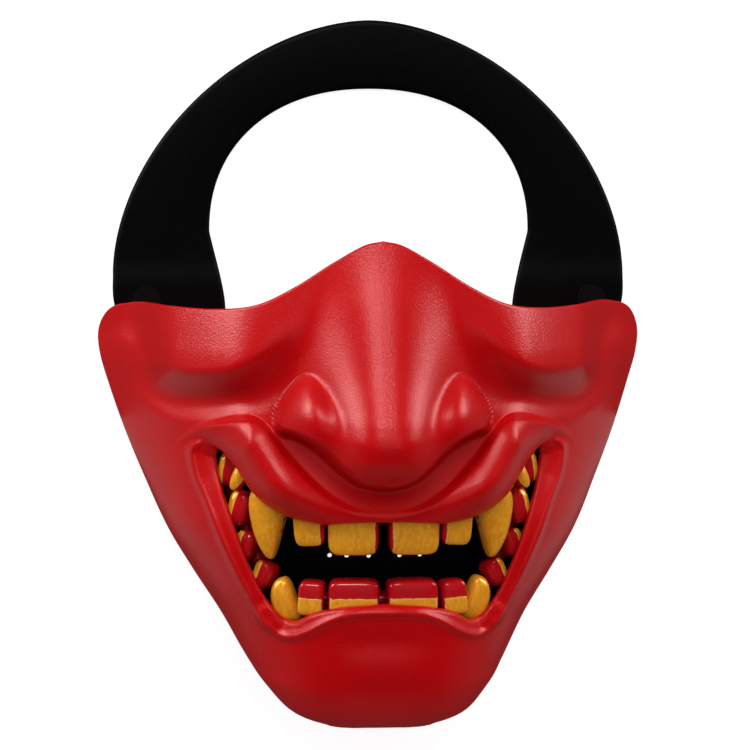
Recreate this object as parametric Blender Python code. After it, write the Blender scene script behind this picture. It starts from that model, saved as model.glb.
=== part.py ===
"""Demon half mask: a moulded shell over nose, cheeks and jaw, with separate teeth, gums and a foam strap.

It lies on its back on the XY plane. +X is the right of the mask as seen from its front, +Y runs from the
chin to the strap, and +Z is the way the face looks. The origin is on the surface that the mask lies on.
"""
import math

import bmesh
import bpy
import numpy as np
from mathutils import Matrix, Vector
from mathutils.bvhtree import BVHTree

# Driving sizes in metres.
FACE_WIDTH = 0.187           # across the wings
FACE_LENGTH = 0.1616         # chin to the top of the nose bridge
FACE_DEPTH = 0.104           # back of the wings to the nose tip
WALL = 0.0035                # moulded shell
GAP = 0.0003                 # between pieces that touch
STRAP_REACH = 0.0738         # strap's top above the nose bridge
STRAP_INSET = 0.005          # strap's outer edge inside the wings' tips
STRAP_BAND = 0.0236          # width of the band at its top
STRAP_THICK = 0.0036
STRAP_SIDE = 0.0333          # width of the band at its sides
TAB_LENGTH = 0.030           # strap hidden inside each wing
STUD_DIAMETER = 0.0100
STUD_THICK = 0.0016
STEM_DIAMETER = 0.0036
CAP_THICK = 0.0009
SCREEN_WALL = 0.0014         # black panel behind the mouth
SCREEN_SINK = 0.034          # how far the panel stands behind the lips
VENT_DIAMETER = 0.0016
GUM_DIAMETER = 0.0070

# Mesh fineness of the solids.
SPOKES_PER_SIDE = 34
OUTER_RINGS = 26
INNER_RINGS = 14
STRAP_STATIONS = 26
SCREEN_STATIONS = 16
GUM_STATIONS = 4             # for each stop of a gum
GUM_SIDES = 8
ROUND_SIDES = 16
VENT_SIDES = 8
TOOTH_SIDES = 10
TOOTH_RINGS = 6
LINE_POINTS = 80             # on the line of a lip, a fold or an edge of the face
OUTLINE_POINTS = 200         # on half of the outline
SAMPLES = 120                # along a spoke, a skirt or an arc before its points are spaced evenly
MERGE = 1e-6                 # points closer than this are one point
TINY = 1e-12                 # keeps a division from failing
FAR = 1.0                    # farther than anything on the mask
FIELD_STEP = 0.001           # raster on which the inner surface is found
FIELD_MARGIN = 0.15          # room round the face on that raster, as a share of the face
SHARP_ANGLE = math.radians(50)

HALF = FACE_WIDTH / 2
STRAP_HALF = HALF - STRAP_INSET
FULL_LENGTH = FACE_LENGTH + STRAP_REACH
CHIN_Y = -FULL_LENGTH / 2
BRIDGE_Y = CHIN_Y + FACE_LENGTH

# Face spokes from the middle of the nose bridge round the wing to the chin. Each row runs from the
# mouth's edge to the outline seen from the front. out is a share of HALF, up of FACE_LENGTH above the
# chin and rim_deep, the height of the shell's back edge, of FACE_DEPTH (None: the outline is the edge).
SPOKES = (
    # lip_out, lip_up, edge_out, edge_up, rim_deep
    (0.000, 0.447, 0.000, 1.002, None),
    (0.062, 0.447, 0.070, 0.993, None),
    (0.139, 0.444, 0.175, 0.959, None),
    (0.215, 0.440, 0.309, 0.909, None),
    (0.300, 0.447, 0.442, 0.873, None),
    (0.378, 0.462, 0.590, 0.862, None),
    (0.443, 0.489, 0.744, 0.863, None),
    (0.487, 0.522, 0.877, 0.862, None),
    (0.521, 0.551, 0.956, 0.848, 0.078),
    (0.563, 0.576, 0.999, 0.806, 0.024),
    (0.582, 0.576, 0.997, 0.752, 0.016),
    (0.587, 0.547, 0.960, 0.677, 0.016),
    (0.569, 0.495, 0.902, 0.583, 0.030),
    (0.537, 0.435, 0.830, 0.484, 0.050),
    (0.496, 0.368, 0.750, 0.384, 0.062),
    (0.453, 0.309, 0.657, 0.295, 0.066),
    (0.405, 0.260, 0.561, 0.211, 0.060),
    (0.353, 0.230, 0.477, 0.130, 0.045),
    (0.303, 0.226, 0.406, 0.077, 0.026),
    (0.246, 0.246, 0.316, 0.029, 0.016),
    (0.140, 0.263, 0.179, 0.002, 0.016),
    (0.000, 0.270, 0.000, 0.001, 0.016),
)

# Plain head form: height of the face on the mid-plane and at its outline, level by level.
SECTIONS = (
    # up, middle_deep, side_deep, fullness
    (1.000, 0.690, 0.045, 1.15),
    (0.860, 0.735, 0.045, 1.15),
    (0.790, 0.745, 0.030, 1.10),
    (0.720, 0.750, 0.030, 1.02),
    (0.660, 0.755, 0.045, 0.95),
    (0.580, 0.760, 0.080, 0.85),
    (0.480, 0.775, 0.120, 0.72),
    (0.420, 0.780, 0.145, 0.64),
    (0.360, 0.775, 0.160, 0.60),
    (0.300, 0.775, 0.172, 0.60),
    (0.240, 0.773, 0.190, 0.60),
    (0.190, 0.770, 0.215, 0.58),
    (0.150, 0.766, 0.250, 0.56),
    (0.120, 0.760, 0.300, 0.55),
    (0.090, 0.748, 0.380, 0.55),
    (0.055, 0.722, 0.440, 0.55),
    (0.026, 0.680, 0.500, 0.55),
    (0.000, 0.590, 0.540, 0.60),
)
SIDE_POWER = 2.2             # how square the head form is across
LEAST_HALF = 0.2             # least half width that it is fitted into, as a share of HALF

# Nose above the head form: half width and height of its ridge, level by level.
NOSE = (
    # up, half_out, rise_deep, ridge_out
    (1.010, 0.120, 0.000, 0.020),
    (0.930, 0.210, 0.026, 0.022),
    (0.860, 0.260, 0.062, 0.026),
    (0.800, 0.285, 0.098, 0.032),
    (0.740, 0.295, 0.140, 0.040),
    (0.680, 0.290, 0.190, 0.048),
    (0.640, 0.285, 0.222, 0.054),
    (0.610, 0.280, 0.235, 0.058),
    (0.580, 0.275, 0.225, 0.062),
    (0.550, 0.270, 0.190, 0.062),
    (0.515, 0.270, 0.120, 0.062),
    (0.480, 0.270, 0.060, 0.062),
)
NOSE_EDGE = (                # crisp lower edge of the nose, from the middle to the nostril wing
    # out, up
    (0.000, 0.514),
    (0.086, 0.524),
    (0.156, 0.553),
    (0.208, 0.581),
    (0.260, 0.604),
    (0.313, 0.617),
    (0.366, 0.627),
    (0.392, 0.663),
)
LIP_EDGE = (                 # upper edge of the moustache-shaped upper lip, from the corner to the middle
    # out, up
    (0.720, 0.560),
    (0.707, 0.584),
    (0.677, 0.604),
    (0.640, 0.620),
    (0.569, 0.635),
    (0.500, 0.645),
    (0.452, 0.645),
    (0.412, 0.631),
    (0.378, 0.606),
    (0.345, 0.580),
    (0.296, 0.548),
    (0.226, 0.509),
    (0.139, 0.475),
    (0.070, 0.462),
    (-0.070, 0.462),
)
RIDGE = (                    # thin raised line round the lower lip, from the corner to the middle
    # out, up
    (0.640, 0.592),
    (0.667, 0.571),
    (0.653, 0.515),
    (0.624, 0.478),
    (0.561, 0.385),
    (0.496, 0.304),
    (0.466, 0.273),
    (0.439, 0.241),
    (0.399, 0.213),
    (0.352, 0.199),
    (0.309, 0.203),
    (0.263, 0.216),
    (0.200, 0.238),
    (0.133, 0.253),
    (0.070, 0.258),
    (-0.070, 0.258),
)
LIP_UNDERSIDE = (            # lower edge of the upper lip at the corner, before it meets the mouth's edge
    # out, up
    (0.720, 0.560),
    (0.690, 0.582),
    (0.640, 0.594),
    (0.600, 0.591),
    (0.563, 0.577),
)
CHEEK_EDGE = (               # foot of the cheek's pillow, from the temple round to the nose
    # out, up
    (0.854, 0.870),
    (0.851, 0.828),
    (0.844, 0.775),
    (0.834, 0.724),
    (0.798, 0.690),
    (0.722, 0.674),
    (0.618, 0.674),
    (0.514, 0.684),
    (0.438, 0.702),
    (0.380, 0.726),
    (0.311, 0.758),
    (0.237, 0.786),
    (0.172, 0.818),
)
FOLD = (                     # thin roll outside the cheek's trough, from the temple to the nostril wing
    # out, up
    (0.902, 0.830),
    (0.888, 0.774),
    (0.870, 0.713),
    (0.838, 0.672),
    (0.788, 0.647),
    (0.714, 0.633),
    (0.621, 0.637),
    (0.518, 0.648),
    (0.425, 0.646),
)

# Round swellings: centre, half sizes as shares of HALF, and height as a share of FACE_DEPTH.
SWELLINGS = (
    # name, out, up, half_out, half_up, turn_degrees, rise_deep, squareness
    ("lip_corner", 0.402, 0.236, 0.060, 0.060, 0.0, 0.014, 2.0),
)
WING_BALL = (0.262, 0.650, 0.118, 0.156, 0.135)   # nostril wing: out, up, half_out, half_up, rise_deep
WING_BALL_FORM = (0.60, 1.50, 0.36)    # steepness of its outer and inner side, narrowing to its top

# Heights of the face's features as shares of FACE_DEPTH, and their widths as shares of HALF.
SWELL_EDGE = 0.60            # share of a swelling's radius over which it rises
NOSE_FLANK = (2.00, 1.70)    # powers that shape the nose's flanks
NOSE_STEP = 0.026            # hollow just below the nose
NOSE_HOLLOW = 0.12
NOSE_HOLLOW_END = 0.12       # width over which it fades at the nostril wings
NOSE_CUT_WIDTH = 0.050
CHEEK_RISE = 0.095
CHEEK_CLIMB = 0.125          # width from the pillow's foot to its crest
CHEEK_CREST = 0.730          # level of its crest
CHEEK_FALL = 0.95            # how fast it falls again towards the eyes
CHEEK_FADE = (0.19, 0.34)    # where it starts beside the nose, and the width over which it grows
TROUGH_SINK = 0.020
TROUGH_AWAY = 0.030
TROUGH_WIDTH = 0.050
LIP_STEP = 0.040
LIP_STEP_WIDTH = 0.026
LIP_END = 0.20               # share of the lip's step that is left at its two ends
LIP_FADE = (0.20, 0.45)      # share of its length over which it fades, at the corner and at the middle
LIP_ROLL = 0.42              # bulge of the upper lip for its width
LIP_ROLL_SIDES = (0.120, 0.120)   # widths over which it rises, from its upper and from its lower edge
LIP_CUT_WIDTH = 0.020
RIDGE_RISE = 0.014
RIDGE_WIDTH = 0.014
LIP_SINK = 0.095             # slope from the ridge down to the mouth's edge
LIP_SINK_WIDTH = 0.16
LIP_SINK_END = 0.25          # share of it that is left under the teeth
SIDE_SHARE = (0.62, 0.92)    # part of the ridge's length over which it fades to that share
GROOVE_SINK = 0.008          # groove under the lower lip
GROOVE_AWAY = 0.11
GROOVE_WIDTH = 0.055
GROOVE_SHARE = (0.70, 0.85)  # part of the ridge's length over which the groove starts
FOLD_RISE = 0.018
FOLD_WIDTH = 0.040
FOLD_END = (0.15, 0.12)

# Form of the shell's wall.
EDGE_ROUND = 0.30            # bulge of the shell's edges, in walls
SKIRT_TUCK = 0.10            # how far the skirt leans inward for its height
SPOKE_BOW = 0.30             # how far a spoke runs square to the mouth's edge before it bends
SPOKE_EVENING = 3            # rounds of evening out between neighbouring spokes
NORMAL_EVENING = 6           # rounds of evening out of the face before its normals are taken
LIP_BAND = 6.0               # width of the band inside the lips where the wall is measured upright, in walls
RIM_BAND = 3.3               # width of the band along the rim where the wall is measured square, in walls
LEAST_WALL = 0.8             # upright thickness that is always left, in walls
STEEP = 0.45                 # upright part of a normal below which the skirt counts as steep

# Teeth on the right side; each has a twin on the left. Places are shares of HALF and FACE_LENGTH, sizes
# are shares of HALF. taper is the tip's width for the root's, bend the curve to the side, turn and yaw the
# turns in degrees in the mask's front view and about its upright line.
TEETH = (
    # name, out, up, half_wide, half_tall, half_thick, taper, bend, turn, yaw, squareness
    ("upper_incisor", 0.105, 0.428, 0.091, 0.100, 0.042, 0.97, 0.00, 0.0, 4.0, 0.36),
    ("upper_lateral", 0.2575, 0.436, 0.057, 0.084, 0.036, 0.94, 0.00, 3.0, 10.0, 0.42),
    ("upper_fang", 0.391, 0.436, 0.086, 0.142, 0.074, 0.30, 0.03, -2.0, 20.0, 0.75),
    ("upper_premolar", 0.486, 0.530, 0.032, 0.075, 0.034, 0.70, 0.00, -30.0, 40.0, 0.80),
    ("lower_incisor", 0.101, 0.282, 0.091, 0.062, 0.064, 0.98, 0.00, 0.0, 4.0, 0.36),
    ("lower_lateral", 0.247, 0.278, 0.048, 0.062, 0.056, 0.96, 0.00, -4.0, 10.0, 0.40),
    ("lower_fang", 0.333, 0.266, 0.052, 0.084, 0.052, 0.76, 0.03, 18.0, 16.0, 0.70),
    ("side_tooth_1", 0.524, 0.530, 0.044, 0.064, 0.050, 0.85, 0.00, -10.0, 30.0, 0.65),
    ("side_tooth_2", 0.492, 0.452, 0.044, 0.064, 0.050, 0.85, 0.00, -16.0, 30.0, 0.65),
    ("side_tooth_3", 0.470, 0.376, 0.042, 0.052, 0.050, 0.85, 0.00, -18.0, 30.0, 0.65),
    ("side_tooth_4", 0.408, 0.316, 0.040, 0.052, 0.050, 0.85, 0.00, -22.0, 30.0, 0.65),
)
TOOTH_FORM = (1.3, 0.4)      # how late a tooth narrows, and how much its thickness follows its width

# Gums: bars behind the teeth. Each row is a stop of a bar's middle line on the right half.
GUMS = (
    # name, both_halves, share of GUM_DIAMETER, stops as (out, up)
    ("upper_gum", True, 1.00, ((0.000, 0.455), (0.200, 0.455), (0.300, 0.462), (0.370, 0.480))),
    ("lower_gum", True, 1.00, ((0.000, 0.262), (0.200, 0.258), (0.290, 0.246), (0.340, 0.240))),
    ("side_gum", False, 0.80, ((0.410, 0.310), (0.460, 0.385), (0.500, 0.455), (0.530, 0.530))),
)

# Strap: place of its widest points, as shares of the arch's height above the wings, and its edges' form.
WING_TOP = 0.862             # level of the wings' top edge, as a share of FACE_LENGTH
STRAP_OUTER = (0.100, 1.80)  # level of the widest point, squareness
STRAP_INNER = (0.245, 2.20)
TAB_OUT = 0.90               # the hidden end's outer edge, as a share of the strap's half width
TAB_IN = 0.56                # the hidden end's inner edge
WING_OUT = 0.998             # the outer edge at the wings' top edge
WING_IN = 0.565              # the inner edge there
STRAP_SECTION = (            # round the band's section: its edge (0 outer, 1 inner), inset and height
    # edge, inset, height, both in half thicknesses
    (0, 0.0, 0.0),
    (0, 0.3, 0.7),
    (0, 1.0, 1.0),
    (1, 1.0, 1.0),
    (1, 0.3, 0.7),
    (1, 0.0, 0.0),
    (1, 0.3, -0.7),
    (1, 1.0, -1.0),
    (0, 1.0, -1.0),
    (0, 0.3, -0.7),
)
STUD_OUT = 0.870             # the studs' place, as a share of the strap's half width
POST_DROP = 0.30             # the stud's hidden post is off its centre by this share of its diameter

# Mouth panel: its edge follows the mouth, moved out along the spokes.
SCREEN_SPREAD = 0.30         # share of the way from the mouth's edge to the outline
SCREEN_UP = 0.400            # level of its middle
SCREEN_RIM = 0.22            # share of the panel's radius over which it sinks
SCREEN_REACH = (1.0, 0.95, 0.88, 0.80, 0.68, 0.45, 0.0)   # its rings, as shares of its radius
VENTS = (-0.169, -0.108, -0.029, 0.083, 0.158)   # out of the small vent holes
VENT_UP = 0.340

# Finishes: colour, roughness, metallic.
RED = ((0.52, 0.010, 0.012), 0.40, 0.0)
DEEP_RED = ((0.38, 0.006, 0.010), 0.20, 0.0)
GOLD = ((0.58, 0.31, 0.055), 0.35, 0.6)
BLACK_FOAM = ((0.012, 0.012, 0.013), 0.60, 0.0)
BLACK_PLASTIC = ((0.012, 0.012, 0.013), 0.40, 0.0)


def curve_through(points, count):
    """Return count points on a smooth line through points (Catmull-Rom, centripetal)."""
    knots = np.array(points, float)
    padded = np.vstack([2 * knots[0] - knots[1], knots, 2 * knots[-1] - knots[-2]])
    length = np.maximum(np.linalg.norm(np.diff(padded, axis=0), axis=1), TINY) ** 0.5
    time = np.concatenate([[0.0], np.cumsum(length)])
    wanted = np.linspace(time[1], time[-2], count)
    span = np.clip(np.searchsorted(time, wanted, side="right") - 1, 1, len(knots) - 1)
    p0, p1, p2, p3 = (padded[span + k] for k in (-1, 0, 1, 2))
    t0, t1, t2, t3 = (time[span + k][:, None] for k in (-1, 0, 1, 2))
    t = wanted[:, None]
    a1 = ((t1 - t) * p0 + (t - t0) * p1) / (t1 - t0)
    a2 = ((t2 - t) * p1 + (t - t1) * p2) / (t2 - t1)
    a3 = ((t3 - t) * p2 + (t - t2) * p3) / (t3 - t2)
    b1 = ((t2 - t) * a1 + (t - t0) * a2) / (t2 - t0)
    b2 = ((t3 - t) * a2 + (t - t1) * a3) / (t3 - t1)
    return ((t2 - t) * b1 + (t - t1) * b2) / (t2 - t1)


def column(rows, index, at):
    """Read one column of a table at the levels at, smoothly and without overshoot."""
    rows = sorted(rows)
    x = np.array([row[0] for row in rows])
    y = np.array([row[index] for row in rows])
    step = np.diff(x)
    slope = np.diff(y) / step
    inner = np.where(slope[:-1] * slope[1:] > 0,
                     2 * slope[:-1] * slope[1:] / (slope[:-1] + slope[1:] + TINY * (slope[:-1] == -slope[1:])),
                     0.0)
    tangent = np.concatenate([[slope[0]], inner, [slope[-1]]])
    at = np.clip(at, x[0], x[-1])
    k = np.clip(np.searchsorted(x, at, side="right") - 1, 0, len(x) - 2)
    t = (at - x[k]) / step[k]
    return ((1 + 2 * t) * (1 - t) ** 2 * y[k] + t * (1 - t) ** 2 * step[k] * tangent[k]
            + t * t * (3 - 2 * t) * y[k + 1] + t * t * (t - 1) * step[k] * tangent[k + 1])


def smooth(value):
    """Ease from 0 to 1 as value goes from 0 to 1."""
    t = np.clip(value, 0.0, 1.0)
    return t * t * (3 - 2 * t)


def metres(points):
    """Turn (out, up) shares into places in the XY plane."""
    points = np.array(points, float)
    return np.stack([points[:, 0] * HALF, CHIN_Y + points[:, 1] * FACE_LENGTH], axis=-1)


def beside(line, x, y):
    """Return how far each point lies to the left of a line (negative: right) and how far along it."""
    best = np.full(x.shape, FAR)
    side = np.zeros(x.shape)
    along = np.zeros(x.shape)
    lengths = np.linalg.norm(np.diff(line, axis=0), axis=1)
    starts = np.concatenate([[0.0], np.cumsum(lengths)])
    for k in range(len(line) - 1):
        dx, dy = (line[k + 1] - line[k]) / lengths[k]
        px = x - line[k, 0]
        py = y - line[k, 1]
        run = np.clip(px * dx + py * dy, 0.0, lengths[k])
        away = np.hypot(px - run * dx, py - run * dy)
        nearer = away < best
        best = np.where(nearer, away, best)
        side = np.where(nearer, np.sign(dx * py - dy * px), side)
        along = np.where(nearer, (starts[k] + run) / starts[-1], along)
    return best * np.where(side == 0, 1.0, side), along


def outline_half():
    """Half of the outline seen from the front, from the nose bridge to the chin."""
    return curve_through(metres([row[2:4] for row in SPOKES]), OUTLINE_POINTS)


def half_width_at(y):
    """Half width of the outline at a height y."""
    line = outline_half()
    widest = int(np.argmax(line[:, 0]))
    lower = line[widest:][::-1]
    order = np.argsort(lower[:, 1])
    return np.maximum(np.interp(y, lower[order, 1], lower[order, 0]), LEAST_HALF * HALF)


def head_form(x, y):
    """Height of the plain head form under all features."""
    up = (y - CHIN_Y) / FACE_LENGTH
    middle = column(SECTIONS, 1, up)
    side = column(SECTIONS, 2, up)
    fullness = column(SECTIONS, 3, up)
    t = np.clip(np.abs(x) / half_width_at(y), 0.0, 1.0)
    return FACE_DEPTH * (side + (middle - side) * (1 - t ** SIDE_POWER) ** fullness)


def swelling(x, y, out, up, half_out, half_up, turn, squareness):
    """Round bump from 0 at its edge to 1 at its centre."""
    turn = math.radians(turn)
    dx = np.abs(x) / HALF - out
    dy = (y - CHIN_Y - up * FACE_LENGTH) / HALF
    across = (dx * math.cos(turn) + dy * math.sin(turn)) / half_out
    along = (-dx * math.sin(turn) + dy * math.cos(turn)) / half_up
    reach = np.abs(across) ** squareness + np.abs(along) ** squareness
    return smooth((1 - reach ** (1 / squareness)) / SWELL_EDGE)


def nose(x, y):
    """Height of the nose and its wings above the head form."""
    up = (y - CHIN_Y) / FACE_LENGTH
    half = column(NOSE, 1, up) * HALF
    rise = column(NOSE, 2, up) * FACE_DEPTH
    ridge = column(NOSE, 3, up) * HALF
    flat = np.sqrt(x ** 2 + (ridge / 2) ** 2) - ridge / 2
    t = np.clip(flat / half, 0.0, 1.0)
    blade = rise * (1 - t ** NOSE_FLANK[0]) ** NOSE_FLANK[1]
    out, level, half_out, half_up, ball_rise = WING_BALL
    outer_steep, inner_steep, narrowing = WING_BALL_FORM
    along = (y - CHIN_Y - level * FACE_LENGTH) / HALF / half_up
    across = (np.abs(x) / HALF - out) / (half_out * (1 - narrowing * np.clip(along, -1.0, 1.0)))
    steep = outer_steep + (inner_steep - outer_steep) * smooth((1 - across) / 2)
    ball = ball_rise * FACE_DEPTH * np.clip(1 - across ** 2 - along ** 2, 0.0, 1.0) ** steep
    both = blade + ball * (1 - blade / np.maximum(rise, ball_rise * FACE_DEPTH))
    edge, _ = beside(curve_through(metres(NOSE_EDGE), LINE_POINTS), np.abs(x), y)
    inside = smooth(0.5 + edge / (NOSE_CUT_WIDTH * HALF))
    hollow = smooth(1 - np.abs(edge) / (NOSE_HOLLOW * HALF)) * smooth((NOSE_EDGE[-1][0] - np.abs(x) / HALF) / NOSE_HOLLOW_END)
    return both * inside - NOSE_STEP * FACE_DEPTH * hollow * (1 - inside)


def cheek(x, y):
    """Pillow of the cheek: steep from its foot to its crest, then gentle towards the eyes."""
    outside, _ = beside(curve_through(metres(CHEEK_EDGE), LINE_POINTS), np.abs(x), y)
    foot = -outside / HALF
    level = (y - CHIN_Y) / FACE_LENGTH
    fade = smooth((np.abs(x) / HALF - CHEEK_FADE[0]) / CHEEK_FADE[1])
    climb = smooth(foot / CHEEK_CLIMB)
    fall = 1 - CHEEK_FALL * smooth((level - CHEEK_CREST) / (1 - CHEEK_CREST))
    trough = np.exp(-((foot + TROUGH_AWAY) / TROUGH_WIDTH) ** 2)
    return FACE_DEPTH * fade * (CHEEK_RISE * climb * fall - TROUGH_SINK * trough)


def cheek_fold(x, y):
    """Thin roll outside the cheek's trough."""
    away, along = beside(curve_through(metres(FOLD), LINE_POINTS), np.abs(x), y)
    ends = smooth(along / FOLD_END[0]) * smooth((1 - along) / FOLD_END[1])
    return FOLD_RISE * FACE_DEPTH * np.exp(-(away / HALF / FOLD_WIDTH) ** 2) * ends


def below_lip(x, y):
    """Distance from the upper lip's lower edge to the places below it, negative above it."""
    line = list(LIP_UNDERSIDE) + [row[:2] for row in SPOKES[8::-1]] + [(-SPOKES[1][0], SPOKES[1][1])]
    return beside(curve_through(metres(line), LINE_POINTS), np.abs(x), y)[0]


def upper_lip(x, y, below):
    """Moustache-shaped upper lip: a roll with a small step along its upper edge."""
    edge, along = beside(curve_through(metres(LIP_EDGE), LINE_POINTS), np.abs(x), y)
    step = smooth(0.5 + edge / (LIP_STEP_WIDTH * HALF))
    fade = smooth(np.minimum(along / LIP_FADE[0], (1.0 - along) / LIP_FADE[1]))
    strength = LIP_END + (1 - LIP_END) * fade
    inward = np.maximum(edge, 0.0)
    upward = np.maximum(-below, 0.0)
    rise = 1 - (1 - np.minimum(inward / LIP_ROLL_SIDES[0] / HALF, 1.0)) ** 2
    curl = 1 - (1 - np.minimum(upward / LIP_ROLL_SIDES[1] / HALF, 1.0)) ** 2
    return LIP_STEP * FACE_DEPTH * strength * step * curl + LIP_ROLL * (inward + upward) * rise * curl


def lower_lip(x, y, under):
    """Thin raised line round the lower lip and the slope from it down to the teeth."""
    edge, along = beside(curve_through(metres(RIDGE), LINE_POINTS), np.abs(x), y)
    inward = -edge / HALF
    line = RIDGE_RISE * np.exp(-(inward / RIDGE_WIDTH) ** 2)
    at_side = smooth((SIDE_SHARE[1] - along) / (SIDE_SHARE[1] - SIDE_SHARE[0]))
    sink = LIP_SINK * smooth(inward / LIP_SINK_WIDTH) * (LIP_SINK_END + (1 - LIP_SINK_END) * at_side)
    below = smooth((along - GROOVE_SHARE[0]) / (GROOVE_SHARE[1] - GROOVE_SHARE[0]))
    groove = GROOVE_SINK * np.exp(-((inward + GROOVE_AWAY) / GROOVE_WIDTH) ** 2) * below
    return FACE_DEPTH * (line - sink - groove) * under


def face_height(x, y):
    """Height of the mask's outer surface above the plane that it lies on."""
    height = head_form(x, y) + nose(x, y) + cheek(x, y)
    for _, out, up, half_out, half_up, turn, rise, squareness in SWELLINGS:
        height = height + rise * FACE_DEPTH * swelling(x, y, out, up, half_out, half_up, turn, squareness)
    below = below_lip(x, y)
    under = smooth(below / (LIP_CUT_WIDTH * HALF))
    return height + cheek_fold(x, y) + upper_lip(x, y, below) + lower_lip(x, y, under)


def mouth_half():
    """Half of the mouth's edge, from the middle of the upper lip to the middle of the lower lip."""
    return curve_through(metres([row[:2] for row in SPOKES]), 2 * SPOKES_PER_SIDE + 1)


def inside_mouth(x, y):
    """Tell which places lie in the mouth's opening."""
    right = mouth_half()
    loop = np.vstack([right, right[-2:0:-1] * np.array([-1.0, 1.0])])
    inside = np.zeros(x.shape, bool)
    for (x1, y1), (x2, y2) in zip(loop, np.roll(loop, -1, axis=0)):
        if y1 != y2:
            crosses = (y > y1) != (y > y2)
            inside ^= crosses & (x < x1 + (x2 - x1) * (y - y1) / (y2 - y1))
    return inside


def away_from_mouth(lips):
    """Directions square to the mouth's edge, evened out from spoke to spoke."""
    mirrored = np.vstack([lips[1] * (-1, 1), lips, lips[-2] * (-1, 1)])
    run = mirrored[2:] - mirrored[:-2]
    away = np.column_stack([-run[:, 1], run[:, 0]])
    away /= np.linalg.norm(away, axis=1, keepdims=True)
    for _ in range(SPOKE_EVENING):
        away[1:-1] = (away[:-2] + 2 * away[1:-1] + away[2:]) / 4
    return away / np.linalg.norm(away, axis=1, keepdims=True)


def surface_spokes(per_side, rings):
    """Outer surface as a grid of points: a row for each spoke of the right half, a column for each ring."""
    count = per_side + 1
    order = np.arange(len(SPOKES))
    guide = curve_through(np.column_stack([metres([row[:2] for row in SPOKES]),
                                           metres([row[2:4] for row in SPOKES]), order]), count)
    lips = guide[:, 0:2]
    edges = guide[:, 2:4]
    lips[[0, -1], 0] = 0.0
    edges[[0, -1], 0] = 0.0
    away = away_from_mouth(lips)
    grid = np.zeros((count, rings, 3))
    share = np.linspace(0.0, 1.0, SAMPLES)[:, None]
    for k in range(count):
        whole = edges[k] - lips[k]
        bend = lips[k] + SPOKE_BOW * np.linalg.norm(whole) * away[k]
        flat = lips[k] * (1 - share) ** 2 + 2 * bend * share * (1 - share) + edges[k] * share ** 2
        height = face_height(flat[:, 0], flat[:, 1])
        line = np.column_stack([flat, height])
        rim = rim_height(guide[k, 4], height[-1])
        if rim < height[-1] - GAP:
            fall = np.linspace(0.0, 1.0, SAMPLES)[1:, None]
            tuck = SKIRT_TUCK * (height[-1] - rim)
            inward = -whole / np.linalg.norm(whole)
            skirt = np.column_stack([edges[k] + inward * tuck * fall ** 2,
                                     height[-1] + (rim - height[-1]) * fall[:, 0]])
            line = np.vstack([line, skirt])
        length = np.concatenate([[0.0], np.cumsum(np.linalg.norm(np.diff(line, axis=0), axis=1))])
        at = np.linspace(0.0, length[-1], rings)
        grid[k] = np.column_stack([np.interp(at, length, line[:, axis]) for axis in range(3)])
    return grid


def rim_height(order, outline_height):
    """Height of the shell's back edge on one spoke, given by its place in the SPOKES table."""
    stated = [(k, row[4]) for k, row in enumerate(SPOKES) if row[4] is not None]
    first = stated[0][0]
    if order <= first - 1:
        return outline_height
    deep = np.interp(order, [k for k, _ in stated], [deep for _, deep in stated]) * FACE_DEPTH
    share = smooth(order - first + 1)
    return min(outline_height, outline_height + (deep - outline_height) * share)


def smoothed(grid, rounds):
    """Even out a closed grid of points, spoke by spoke and ring by ring, with its two borders kept."""
    result = grid.copy()
    for _ in range(rounds):
        round_about = (np.roll(result, 1, axis=0) + np.roll(result, -1, axis=0)) / 2
        result = (result + round_about) / 2
        result[:, 1:-1] = result[:, 1:-1] / 2 + (result[:, :-2] + result[:, 2:]) / 4
    return result


def outward_normals(grid):
    """Unit normals of a closed grid of points, away from the face."""
    about = np.roll(grid, -1, axis=0) - np.roll(grid, 1, axis=0)
    along = np.gradient(grid, axis=1)
    normal = np.cross(along, about)
    normal /= np.linalg.norm(normal, axis=2, keepdims=True)
    return normal * np.sign(normal[:, :1, 2:3])


class InnerSurface:
    """Surface that a ball of the wall's thickness touches from inside as it rolls over the face."""

    def __init__(self):
        margin = FIELD_MARGIN * HALF
        self.x = np.arange(-HALF - margin, HALF + margin, FIELD_STEP)
        self.y = np.arange(CHIN_Y - margin, BRIDGE_Y + margin, FIELD_STEP)
        across, level = np.meshgrid(self.x, self.y)
        outer = face_height(across.ravel(), level.ravel()).reshape(across.shape)
        outer = np.where(inside_mouth(across, level), FAR, outer)
        reach = int(WALL / FIELD_STEP) + 1
        padded = np.pad(outer, reach, mode="edge")
        lowest = np.full(outer.shape, FAR)
        for row in range(-reach, reach + 1):
            for col in range(-reach, reach + 1):
                rest = WALL ** 2 - (row * FIELD_STEP) ** 2 - (col * FIELD_STEP) ** 2
                if rest >= 0:
                    part = padded[reach + row:reach + row + outer.shape[0],
                                  reach + col:reach + col + outer.shape[1]]
                    lowest = np.minimum(lowest, part - math.sqrt(rest))
        plain = head_form(across.ravel(), level.ravel()).reshape(across.shape) - WALL
        self.field = np.where(lowest > FAR / 2, plain, lowest)

    def height(self, x, y):
        """Height of the inner surface above the plane that the mask lies on."""
        col = np.clip((np.asarray(x) - self.x[0]) / FIELD_STEP, 0, len(self.x) - 1.001)
        row = np.clip((np.asarray(y) - self.y[0]) / FIELD_STEP, 0, len(self.y) - 1.001)
        c = col.astype(int)
        r = row.astype(int)
        dc = col - c
        dr = row - r
        low = self.field[r, c] * (1 - dc) + self.field[r, c + 1] * dc
        high = self.field[r + 1, c] * (1 - dc) + self.field[r + 1, c + 1] * dc
        return low * (1 - dr) + high * dr


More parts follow.
